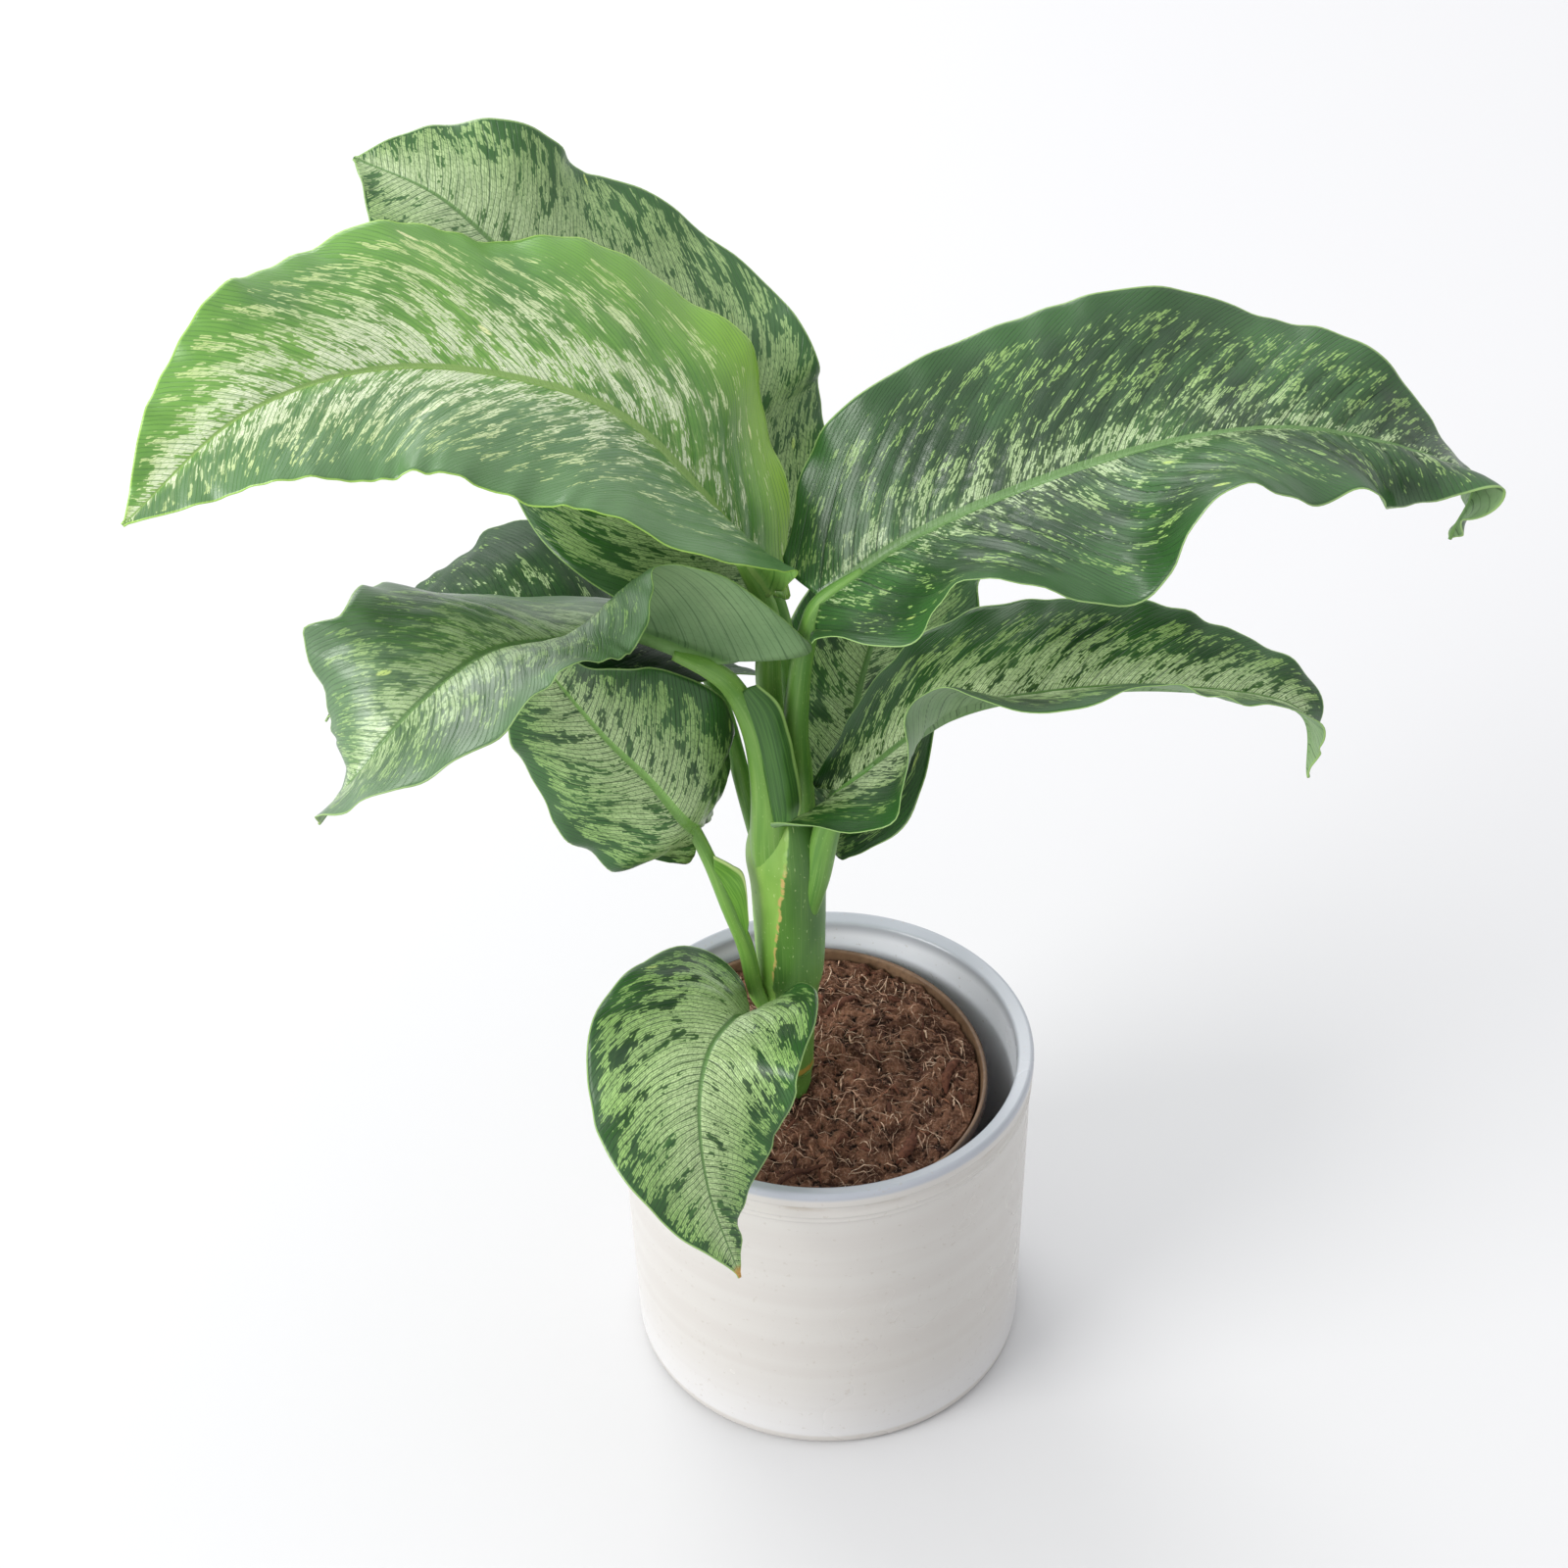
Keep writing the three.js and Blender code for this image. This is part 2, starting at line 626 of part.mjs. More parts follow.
function nurseryPot() {
  const height = nurseryHeight();
  const rim = NURSERY_RIM_RADIUS;
  const profile = [
    [0, -height],
    [NURSERY_BASE_RADIUS - 1, -height],
    [NURSERY_BASE_RADIUS, -height + 1],
    [nurseryInside(NURSERY_LIP_DEPTH) + NURSERY_WALL, -NURSERY_LIP_DEPTH],
    [rim - 0.3, -NURSERY_LIP_DEPTH],
    [rim, -NURSERY_LIP_DEPTH + 0.5],
    [rim, -0.7],
    [rim - 0.6, 0],
    [rim - NURSERY_LIP - NURSERY_WALL + 0.5, 0],
    [nurseryInside(1), -1],
    [nurseryInside(height - NURSERY_WALL), -height + NURSERY_WALL],
    [0, -height + NURSERY_WALL],
  ];
  const plastic = new THREE.MeshStandardMaterial({ color: NURSERY_BROWN, roughness: 0.55, metalness: 0 });
  return named('nursery_pot', leaned(turned(profile, NURSERY_SEGMENTS)), plastic);
}

// Coarse lumps of peat and bark, as a height at a place on its surface
function peatRelief(x, y) {
  const broad = Math.sin(x * 0.11 + 1.3) * Math.cos(y * 0.13 - 0.4);
  const lumps = Math.sin(x * 0.31 + y * 0.17) * Math.sin(y * 0.29 - x * 0.12 + 2);
  return PEAT_RELIEF * (0.5 * broad + 0.5 * lumps);
}

// Peat that fills the nursery pot, with a plain hole for the cane
function peat() {
  const height = nurseryHeight();
  const floor = -height + NURSERY_WALL + GAP;
  const ring = (radius, heightAt) => {
    const loop = [];
    for (let i = 0; i < NURSERY_SEGMENTS; i += 1) {
      const turn = (i / NURSERY_SEGMENTS) * 2 * Math.PI;
      const x = radius * Math.cos(turn);
      const y = radius * Math.sin(turn);
      loop.push(new THREE.Vector3(x, y, heightAt(x, y)));
    }
    return loop;
  };
  const edgeRadius = nurseryInside(PEAT_BELOW_RIM + 3 * PEAT_RELIEF) - GAP;
  const surface = (x, y) => {
    const share = Math.hypot(x, y) / edgeRadius;
    const rounding = PEAT_CROWN * (1 - share * share) - PEAT_EDGE_DROP * share;
    return -PEAT_BELOW_RIM + rounding + peatRelief(x, y);
  };
  const rings = [ring(nurseryInside(height - NURSERY_WALL) - GAP, () => floor)];
  for (let k = 0; k < PEAT_SURFACE_RINGS; k += 1) {
    rings.push(ring(edgeRadius * (1 - k / PEAT_SURFACE_RINGS), surface));
  }
  const top = new THREE.Vector3(0, 0, surface(0, 0));
  const filling = leaned(loft(rings, new THREE.Vector3(0, 0, floor), top));
  const filled = toManifold(filling).subtract(toManifold(caneCore(GAP)));
  const soil = new THREE.MeshStandardMaterial({ color: PEAT_BROWN, roughness: 0.95, metalness: 0 });
  return named('peat', fromManifold(filled), soil);
}

// How far the outermost sheath stands out at a place round the cane
function sheathLap(turn, height) {
  const low = LAP_FROM_HEIGHT;
  const high = CANE[CANE.length - 1][2];
  if (height < low) {
    return 0;
  }
  const share = (height - low) / (high - low);
  const seam = radians(THREE.MathUtils.lerp(LAP_HEADING_LOW, LAP_HEADING_HIGH, share));
  const past = THREE.MathUtils.euclideanModulo(turn - seam, 2 * Math.PI) / (2 * Math.PI);
  return LAP_STEP * (0.5 - past) * Math.min(1, share * 6);
}

function caneCore(allowance) {
  return roundStalk(CANE, CANE_SIDES, CANE_RINGS, allowance, sheathLap);
}

// Cane with a plain socket for the foot of every leaf stalk
function cane() {
  let core = toManifold(caneCore(0));
  for (const leaf of Object.values(LEAVES)) {
    core = core.subtract(toManifold(stalk(leaf, GAP)));
  }
  const skin = new THREE.MeshStandardMaterial({ color: CANE_GREEN, roughness: 0.5, metalness: 0 });
  return named('cane', fromManifold(core), skin);
}

// Leaf of one growth: blade, midrib, stalk and the wing of its sheath
function leafPiece(name, leaf) {
  let whole = toManifold(blade(leaf)).add(toManifold(stalk(leaf, 0)));
  if (leaf.sheath) {
    whole = whole.add(toManifold(sheathWing(leaf.sheath)));
  }
  const skin = new THREE.MeshStandardMaterial({ color: leaf.colour, roughness: 0.45, metalness: 0 });
  return named(name, fromManifold(whole), skin);
}

const plant = new THREE.Group();
plant.name = 'potted_dieffenbachia';
plant.add(outerPot());
plant.add(nurseryPot());
plant.add(peat());
plant.add(cane());
for (const [name, leaf] of Object.entries(LEAVES)) {
  plant.add(leafPiece(name, leaf));
}

export default plant;
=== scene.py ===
import math

import bpy
import numpy as np
from mathutils import Matrix, Vector


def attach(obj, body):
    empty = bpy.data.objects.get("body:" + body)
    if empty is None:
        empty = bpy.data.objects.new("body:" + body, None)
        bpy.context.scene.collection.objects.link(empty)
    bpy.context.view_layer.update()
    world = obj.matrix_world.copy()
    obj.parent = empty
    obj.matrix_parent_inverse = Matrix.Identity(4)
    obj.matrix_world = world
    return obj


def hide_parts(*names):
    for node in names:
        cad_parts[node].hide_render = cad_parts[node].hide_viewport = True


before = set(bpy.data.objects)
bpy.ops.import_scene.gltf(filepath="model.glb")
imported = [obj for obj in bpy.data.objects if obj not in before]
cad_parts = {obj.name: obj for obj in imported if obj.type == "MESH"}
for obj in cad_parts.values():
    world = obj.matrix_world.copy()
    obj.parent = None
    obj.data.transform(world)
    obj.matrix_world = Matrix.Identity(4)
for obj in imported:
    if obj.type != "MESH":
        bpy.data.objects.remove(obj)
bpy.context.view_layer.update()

# Everything below is worked out in millimetres and written to Blender in metres
MM = 0.001


# Shapes

def unit(vectors):
    length = np.linalg.norm(vectors, axis=-1, keepdims=True)
    return vectors / np.maximum(length, 1e-9)


def along(values, share):
    """Smooth curve through evenly spaced numbers or points, read at shares of its length."""
    values = np.asarray(values, float)
    last = len(values) - 1
    place = np.clip(share, 0, 1) * last
    span = np.minimum(place.astype(int), last - 1)
    f = place - span
    first_span, last_span = span == 0, span == last - 1
    if values.ndim > 1:
        f = f[..., None]
        first_span, last_span = first_span[..., None], last_span[..., None]
    start, end = values[span], values[span + 1]
    before = np.where(first_span, 2 * start - end, values[np.maximum(span - 1, 0)])
    after = np.where(last_span, 2 * end - start, values[np.minimum(span + 2, last)])
    linear = (end - before) * f
    square = (2 * before - 5 * start + 4 * end - after) * f**2
    cube = (3 * start - before - 3 * end + after) * f**3
    return 0.5 * (2 * start + linear + square + cube)


def heading_along(points, share, step=1e-3):
    ahead = along(points, np.minimum(share + step, 1))
    behind = along(points, np.maximum(share - step, 0))
    return unit(ahead - behind)


def join(*fields):
    """Fields side by side in a last axis."""
    return np.stack(fields, axis=-1)


def lengths_along(points, steps):
    """Length of a curve up to evenly spaced shares of it."""
    path = along(points, np.linspace(0, 1, steps))
    return np.concatenate([[0], np.cumsum(np.linalg.norm(np.diff(path, axis=0), axis=1))])


def rise(value, low, high):
    """Goes smoothly from 0 at low to 1 at high."""
    t = np.clip((value - low) / (high - low), 0, 1)
    return t * t * (3 - 2 * t)


def swell(places, wavelength, seed, waves=9):
    """Uneven but smooth field, mostly between -1 and 1."""
    draw = np.random.default_rng(seed)
    places = np.asarray(places, float)
    total = np.zeros(places.shape[:-1])
    for _ in range(waves):
        heading = draw.normal(size=places.shape[-1])
        heading *= 2 * np.pi / (np.linalg.norm(heading) * wavelength * draw.uniform(0.6, 1.5))
        total += np.sin(places @ heading + draw.uniform(0, 2 * np.pi))
    return total / math.sqrt(waves)


def grid_faces(rows, columns, start=0, flip=False, closed=False):
    """Quads between the points of a grid, whose rows may close on themselves."""
    i, j = np.meshgrid(np.arange(rows - 1), np.arange(columns if closed else columns - 1), indexing="ij")
    across = (j + 1) % columns
    quads = [i * columns + j, i * columns + across, (i + 1) * columns + across, (i + 1) * columns + j]
    faces = np.stack(quads, axis=-1).reshape(-1, 4) + start
    return faces[:, ::-1] if flip else faces


def linked(name, data):
    """New object in the scene."""
    made = bpy.data.objects.new(name, data)
    bpy.context.scene.collection.objects.link(made)
    return made


class Gather:
    """Collects points, faces, marks and kinds of several shells for one piece."""

    def __init__(self):
        self.points, self.marks, self.faces, self.kinds = [], [], [], []
        self.count = 0

    def add(self, points, faces, kind, **marks):
        self.points.append(np.reshape(points, (-1, 3)))
        self.marks.append(marks)
        self.faces += [list(face + self.count) for face in faces]
        self.kinds += [kind] * len(faces)
        self.count += len(self.points[-1])

    def cap(self, start, sides, kind, flip=False):
        """Flat end over a ring of points."""
        ring = np.arange(sides) + start
        self.faces.append(list(ring[::-1] if flip else ring))
        self.kinds.append(kind)

    def piece(self, name, materials, node, slot):
        """Smooth mesh in metres that replaces a node of the frame, with one material for each kind."""
        mesh = bpy.data.meshes.new(name)
        points = np.vstack(self.points) * MM
        mesh.from_pydata(points.tolist(), [], self.faces)
        for material in materials:
            mesh.materials.append(material)
        mesh.polygons.foreach_set("material_index", np.asarray(self.kinds, np.int32))
        for mark in sorted({mark for marks in self.marks for mark in marks}):
            shells = zip(self.points, self.marks)
            values = [np.ravel(marks.get(mark, 0 * points)) for points, marks in shells]
            layer = mesh.attributes.new(mark, "FLOAT_VECTOR", "POINT")
            layer.data.foreach_set("vector", np.concatenate(values).astype(np.float32))
        mesh.polygons.foreach_set("use_smooth", [True] * len(mesh.polygons))
        mesh.update()
        piece = linked(name, mesh)
        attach(piece, "root")
        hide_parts(node)


# Materials

def linear(colour):
    """Linear colour from the levels of 0 to 255 that a screen shows."""
    levels = [level / 255 for level in colour]
    return [c / 12.92 if c <= 0.04045 else ((c + 0.055) / 1.055) ** 2.4 for c in levels] + [1]


class Nodes:
    """Short ways to add the nodes of a material or a world."""

    def __init__(self, owner, shader):
        owner.use_nodes = True
        self.owner, self.tree = owner, owner.node_tree
        self.shader = self.tree.nodes[shader]

    def put(self, socket, value):
        if isinstance(value, bpy.types.NodeSocket):
            self.tree.links.new(value, socket)
        else:
            socket.default_value = value

    def set(self, name, value):
        self.put(self.shader.inputs[name], value)

    def node(self, kind, inputs, **settings):
        made = self.tree.nodes.new("ShaderNode" + kind)
        for key, value in settings.items():
            setattr(made, key, value)
        for key, value in inputs.items():
            self.put(made.inputs[key], value)
        return made

    def mark(self, name):
        made = self.node("Attribute", {}, attribute_name=name)
        return self.node("SeparateXYZ", {0: made.outputs["Vector"]}).outputs[:]

    def place(self):
        return self.node("TexCoord", {}).outputs["Object"]

    def vector(self, x, y, z=0.0):
        return self.node("CombineXYZ", {0: x, 1: y, 2: z}).outputs[0]

    def math(self, operation, a, b=0.0):
        return self.node("Math", {0: a, 1: b}, operation=operation).outputs[0]

    def times(self, a, b):
        return self.math("MULTIPLY", a, b)

    def plus(self, a, b):
        return self.math("ADD", a, b)

    def away(self, value, place=0.0):
        """Distance of a value from a place."""
        return self.math("ABSOLUTE", self.plus(value, -place) if place else value)

    def from_middle(self, value):
        """0 half way between two whole numbers, 0.5 at each of them."""
        return self.away(self.math("FRACT", value), 0.5)

    def rise(self, value, low, high):
        """Goes smoothly from 0 at low to 1 at high."""
        inputs = {"Value": value, "From Min": low, "From Max": high}
        return self.node("MapRange", inputs, interpolation_type="SMOOTHSTEP").outputs[0]

    def line(self, value, low, high, start, end):
        """Goes evenly from start, where the value is low, to end."""
        inputs = {"Value": value, "From Min": low, "From Max": high, "To Min": start, "To Max": end}
        return self.node("MapRange", inputs).outputs[0]

    def shift(self, value, most):
        """Turns 0 to 1 into a shift either way."""
        return self.line(value, 0, 1, -most, most)

    def swing(self, noise, start, end):
        """Goes evenly from start to end over the range that most of a noise stays in."""
        return self.line(noise, 0.3, 0.7, start, end)

    def patches(self, noise, a, b):
        """Two colours that a noise shares out."""
        return self.mix(self.rise(noise, 0.3, 0.7), a, b)

    def mix(self, factor, a, b):
        """Mixes sockets or colours, which are tuples of the levels that a screen shows."""
        a, b = (linear(colour) if isinstance(colour, tuple) else colour for colour in (a, b))
        return self.node("Mix", {0: factor, 6: a, 7: b}, data_type="RGBA").outputs[2]

    def scaled(self, a, a_scale, b, b_scale, third=0.0):
        return self.vector(self.times(a, a_scale), self.times(b, b_scale), third)

    def over(self, colour, tone, mask, strength):
        """Colour with a tone laid over it where the mask is 1."""
        return self.mix(self.times(mask, strength), colour, tone)

    def noise(self, vector, scale=1.0, detail=2.0, roughness=0.5):
        inputs = {"Vector": vector, "Scale": scale, "Detail": detail, "Roughness": roughness}
        return self.node("TexNoise", inputs).outputs["Fac"]

    def random(self, vector):
        return self.node("TexWhiteNoise", {"Vector": vector}, noise_dimensions="3D").outputs["Value"]

    def done(self, colour, height, distance, strength, roughness=None):
        """Sets the look. Height is in units of the distance, which is in metres."""
        self.set("Base Color", colour)
        if roughness is not None:
            self.set("Roughness", roughness)
        inputs = {"Height": height, "Distance": distance, "Strength": strength}
        self.set("Normal", self.node("Bump", inputs).outputs[0])
        return self.owner


def surface(name, roughness=0.5, specular=0.5):
    s = Nodes(bpy.data.materials.new(name), "Principled BSDF")
    s.set("Roughness", roughness)
    s.set("Specular IOR Level", specular)
    return s


ROWS_IN_BAND = 3
DRY_TIP = (196, 150, 70)


def cell_rows(s, look, vein, reach):
    """Rows of small cells that follow the side veins, some rows to a band with dark lines between."""
    broad = s.noise(s.scaled(vein, 1 / 30, reach, 1 / 45))
    small = s.noise(s.scaled(vein, 1 / 4, reach, 1 / 7))
    bent = s.plus(vein, s.plus(s.shift(broad, 5), s.shift(small, 0.9)))
    row = s.times(bent, 1 / look["row"])
    number = s.math("FLOOR", row)
    start = s.times(s.random(s.vector(number, 3.0)), 9.0)
    cell = s.plus(s.times(s.plus(reach, s.shift(small, 1.5)), 1 / look["cell"]), start)
    chance = s.random(s.vector(number, s.math("FLOOR", cell), 1.0))
    row_edge = s.rise(s.from_middle(row), 0.3, 0.46)
    cell_edge = s.rise(s.from_middle(cell), 0.36, 0.46)
    band_edge = s.rise(s.from_middle(s.times(row, 1 / ROWS_IN_BAND)), 0.36, 0.44)
    dark_line = s.times(band_edge, s.line(chance, 0, 1, 0.55, 1.0))
    return small, bent, number, chance, row_edge, cell_edge, dark_line


def cell_score(s, look, bent, number, chance, reach, share, side, across):
    """Above 0 where a cell is pale: in clusters, dense at the midrib and loose at the margin."""
    clump, streak = look["clump"], look["run"]
    patch = s.noise(s.scaled(bent, 1 / 7, reach, 1 / look["patch"], look["seed"]), 1.0, 3.0, 0.6)
    run = s.noise(s.scaled(number, 5.3, reach, 1 / 4, look["seed"]), 1.0, 1.0)
    score = s.plus(s.swing(patch, -clump, clump), s.swing(run, -streak, streak))
    score = s.plus(score, s.shift(chance, 0.3))
    near = s.rise(s.plus(across, s.swing(patch, 0.12, -0.12)), look["spread"], 0.0)
    lift = s.line(near, 0, 1, look["far"], look["near"])
    lift = s.plus(lift, s.times(s.rise(side, -0.1, 0.1), look["right"]))
    lift = s.plus(lift, s.times(s.rise(share, 0.6, 0.0), look["base"]))
    plain_margin = s.times(s.rise(across, look["plain"] - 0.17, look["plain"]), -1.4)
    return s.plus(s.plus(score, lift), plain_margin), near


def leaf_green(s, look, tone, share, side, across):
    """The green under the cells, lighter at the margin, with a greyer half that is painted sheen, or a
    painted glow of light through young leaves.
    """
    green = s.mix(s.rise(tone, 0.35, 0.65), look["dark"], look["mid"])
    green = s.over(green, look["mid"], s.rise(across, 0.7, 0.98), 0.6)
    # Painted sheen: a greyer green laid over the half of the blade with across below 0
    if "low" in look:
        green = s.over(green, look["low"], s.rise(side, 0.1, -0.3), 0.85)
    # Painted glow of light shining through the young blade, on one half towards the margin near its foot
    if "painted_glow" in look:
        edge = s.times(s.rise(side, 0.3, 0.95), s.rise(share, look["glow_to"], 0.1))
        green = s.mix(edge, green, look["painted_glow"])
    return green


def side_vein(s, phase):
    """1 along the main side veins."""
    return s.rise(s.from_middle(s.plus(phase, 0.5)), 0.05, 0.01)


def leaf_top(name, look):
    """Upper face: small pale cells in rows along the side veins on green, with fine dark veins."""
    s = surface(name, specular=look["shine"])
    vein, reach, phase = s.mark("vein")
    share, side, margin = s.mark("place")
    across = s.away(side)

    rows = cell_rows(s, look, vein, reach)
    small, bent, number, chance, row_edge, cell_edge, dark_line = rows
    score, near = cell_score(s, look, bent, number, chance, reach, share, side, across)
    kept = s.times(s.line(row_edge, 0, 1, 1, 0.25), s.line(cell_edge, 0, 1, 1, 0.5))
    pale = s.times(s.times(s.rise(score, -0.02, 0.03), kept), look["strength"])

    tone = s.noise(s.place(), 22.0, 3.0)
    green = leaf_green(s, look, tone, share, side, across)
    cream = s.mix(near, look["pale_out"], look["pale_in"])
    cream = s.mix(s.line(chance, 0, 1, 0, 0.35), cream, look["mid"])
    wash = s.times(s.rise(score, -0.8, 0.5), s.line(near, 0, 1, 0.05, look["wash"]))
    colour = s.mix(wash, green, look["pale_out"])
    colour = s.mix(pale, colour, cream)
    colour = s.over(colour, look["dark"], dark_line, look["veins"])

    # Lone bright flecks, side veins darkened partly in their own colour and partly as painted shade in their
    # creases, midrib, rim and dry tip
    spots = s.node("TexVoronoi", {"Vector": s.scaled(vein, 1 / 13, reach, 1 / 17, 0.5), "Scale": 1.0})
    picked = s.node("SeparateColor", {0: spots.outputs["Color"]}).outputs[0]
    fleck = s.times(s.rise(spots.outputs["Distance"], 0.13, 0.08), s.rise(picked, 0.7, 0.72))
    colour = s.over(colour, look["fleck"], s.times(fleck, 0.8), s.line(cell_edge, 0, 1, 1, 0.3))
    # Main side veins: darker partly in their own colour and partly as painted shade in the crease
    crease = s.times(side_vein(s, phase), s.rise(across, 0.98, 0.6))
    colour = s.over(colour, look["dark"], crease, look["crease"])
    half_rib = s.line(share, 0, 1, look["rib"], 0.4)
    rib = s.rise(s.plus(half_rib, s.times(s.away(reach), -1)), -0.15, 0.35)
    rib_grain = s.noise(s.scaled(share, 30, reach, 1.2))
    colour = s.mix(rib, colour, s.mix(rib_grain, look["rib_dark"], look["rib_pale"]))
    colour = s.mix(s.rise(margin, 0.7, 0.3), colour, look["rim"])
    if "dry" in look:
        dry = s.rise(s.plus(share, s.times(s.plus(tone, -0.5), 0.03)), look["dry"], look["dry"] + 0.02)
        colour = s.mix(dry, colour, DRY_TIP)
    rough = s.swing(s.noise(s.place(), 45.0), look["rough"], look["rough"] + 0.14)
    grain = s.times(s.noise(s.place(), 1400.0, 2.0), 0.25)
    height = s.plus(s.times(s.plus(dark_line, crease), -0.5), s.plus(grain, s.times(small, 0.6)))
    return s.done(colour, height, 0.0003, 0.7, rough)


def leaf_underside(name, look):
    """Lower face: duller green with a fine net of darker veins."""
    s = surface(name, specular=0.35)
    vein, reach, phase = s.mark("vein")
    share, _, margin = s.mark("place")
    bent = s.plus(vein, s.shift(s.noise(s.scaled(vein, 1 / 30, reach, 1 / 45)), 4))
    fine = s.rise(s.from_middle(s.times(bent, 1 / 3.4)), 0.42, 0.49)
    net = s.noise(s.scaled(vein, 0.5, reach, 1.1))
    tone = s.noise(s.place(), 30.0, 3.0)
    colour = s.patches(tone, look["under"], look["under_pale"])
    colour = s.over(colour, look["dark"], s.rise(net, 0.5, 0.75), 0.2)
    colour = s.over(colour, look["dark"], fine, 0.4)
    colour = s.over(colour, look["dark"], side_vein(s, phase), 0.6)
    half_rib = s.line(share, 0, 1, look["rib"], 0.5)
    rib = s.rise(s.plus(half_rib, s.times(s.away(reach), -1)), -0.2, 0.4)
    colour = s.mix(rib, colour, look["rib_pale"])
    colour = s.mix(s.rise(margin, 0.8, 0.35), colour, look["rim"])
    height = s.plus(s.times(fine, 0.5), s.times(s.noise(s.place(), 900.0), 0.3))
    return s.done(colour, height, 0.0003, 0.5, s.swing(tone, 0.5, 0.6))


def stem_skin(name, low, high, streak):
    """Stalk: fresh green with fine pale streaks and dots along it."""
    s = surface(name, roughness=0.42, specular=0.45)
    turn, height, _ = s.mark("stem")
    tone = s.noise(s.scaled(turn, 1.4, height, 1 / 60))
    fibre = s.noise(s.scaled(turn, 16.0, height, 1 / 35))
    dots = s.noise(s.scaled(turn, 9.0, height, 1 / 3.2), 1.0, 1.0)
    colour = s.patches(tone, low, high)
    colour = s.over(colour, streak, s.rise(fibre, 0.52, 0.72), 0.35)
    colour = s.over(colour, streak, s.rise(dots, 0.68, 0.74), 0.5)
    return s.done(colour, fibre, 0.0003, 0.35)


# Plant

# Places of the materials of a leaf
TOP, UNDER, STALK, SHEATH = range(4)

# Shares of the half width and of the forward shift, from the foot of a blade to its tip
OUTLINE = [0.38, 0.78, 0.94, 1, 1, 0.94, 0.84, 0.69, 0.49, 0.25, 0]
SWEEP = [-0.5, -0.22, 0.04, 0.14, 0.2, 0.22, 0.22, 0.19, 0.14, 0.07, 0]

# Each leaf as in the part's source, in millimetres and degrees. rib: points of the midrib.
# face: way the blade looks, if not up. half_width, lobe, outline, fold, curl and waves: one value
# or list for the half with across below 0 and one for the other, where waves are height, count
# and start. roll: turn about the midrib. calm: how early the waves end. stalk: x, y, z and
# radius. sheath: rows across the open sheath, from the top down.
LEAVES = {}
LEAVES["leaf_1"] = dict(
    rib=[[-17, 10, 378], [-40, 8, 421], [-76, 9, 459], [-138, -2, 481], [-190, -31, 481], [-233, -59, 454]],
    outline=[[0.12, 0.6, 0.87, 0.98, *OUTLINE[4:]]] * 2, half_width=[67, 67], lobe=[0, 0.3],
    roll=[15, 10, 15, 20], fold=[[65, 35, 15, 10, 5, 0, 0], [15, 30, 35, 25]],
    curl=[[-15, -20, 5], [10, -35, 5]], waves=[[4, 4, 0.05], [4, 6, -0.2]],
    stalk=[[-15, 8, 256, 4], [-15, 8, 290, 5], [-17, 9, 318, 5], [-18, 9, 342, 5], [-17, 9, 364, 4.5]],
)
LEAVES["leaf_2"] = dict(
    rib=[[-18, 45, 368], [-44, 52, 405], [-67, 66, 442], [-100, 71, 477], [-133, 83, 507], [-166, 96, 519]],
    half_width=[65, 65], lobe=[0.2, 0.2], roll=[35, 30, 25, 30], fold=[[20, 0, 0, 5], [20, 15, 15, 25]],
    curl=[[-25, -30, 15], [5, -20, -5]], waves=[[5, 4, 0.45], [6, 4, 0.3]],
    stalk=[[-4, 8, 256, 3.8], [-6, 14, 290, 4.5], [-9, 24, 320, 4.3], [-12, 36, 346, 4]],
)
LEAVES["leaf_3"] = dict(
    rib=[
        [2, -5, 383], [42, -3, 410], [100, -3, 435], [153, -4, 447], [194, -3, 443], [238, -3, 425],
        [233, -8, 402],
    ],
    outline=[[0.38, 0.81, 0.96, 1, 0.98, 0.84, 0.65, 0.42, 0.22, 0.2, 0]] * 2, face=[0.5, 0, 0.85],
    half_width=[62, 62], lobe=[0.2, 0.2], roll=[-20, -15, -15, 0, -5, 30, 110],
    fold=[[10, 25, 25, 25, 25, 20, 30], [5, 5, 0, 20, 10, 5, 25]],
    curl=[[-5, 10, 5, 5, 5, 5, 10], [30, 25, 0, -20, -55, -50, -15]], waves=[[4, 4, 0.65], [12, 5, 0.2]],
    stalk=[[-7, -1, 256, 4], [-7, -1, 290, 4.8], [-8, -1, 320, 5], [-6, -1, 346, 4.5], [-2, -2, 368, 4]],
)
LEAVES["leaf_4"] = dict(
    rib=[
        [-37, -9, 358], [-71, 1, 367], [-95, -16, 375], [-118, -41, 387], [-140, -69, 385], [-162, -82, 365],
        [-180, -77, 340],
    ],
    outline=[OUTLINE, [
        0.38, 0.6, 0.78, 0.87, 0.94, 0.98, 1, 1, 1, 0.98, 0.94,
        0.86, 0.78, 0.94, 0.74, 0.6, 0.52, 0.42, 0.34, 0.18, 0,
    ]],
    half_width=[52, 52], lobe=[1.15, 0.3], roll=[-20, -5, 5, 5, 5, 0],
    fold=[[90, 85, 30, 10, 10, 5], [10, 10, 25, 35, 25, 10]],
    curl=[[25, -75, -20, 15, 10, 0], [-10, -40, -45, -30, -35, -20]], waves=[[4, 3, -0.2], [6, 3, -0.5]],
    stalk=[
        [-20, -4, 246, 7], [-20, -5, 270, 7.5], [-20, -6, 297, 6.5], [-23, -7, 323, 5.5], [-30, -7, 343, 4.5],
    ],
    sheath=[
        [[-29, -9, 344], [-26, -11, 348], [-22, -10, 349]],
        [[-25, -11, 331], [-19, -13, 338], [-14, -11, 340]],
        [[-21, -12, 312], [-15, -15, 322], [-10, -12, 324]],
        [[-18, -13, 290], [-12, -17, 300], [-7, -14, 304]],
        [[-17, -13, 284], [-12, -16, 286], [-8, -14, 288]],
    ],
)
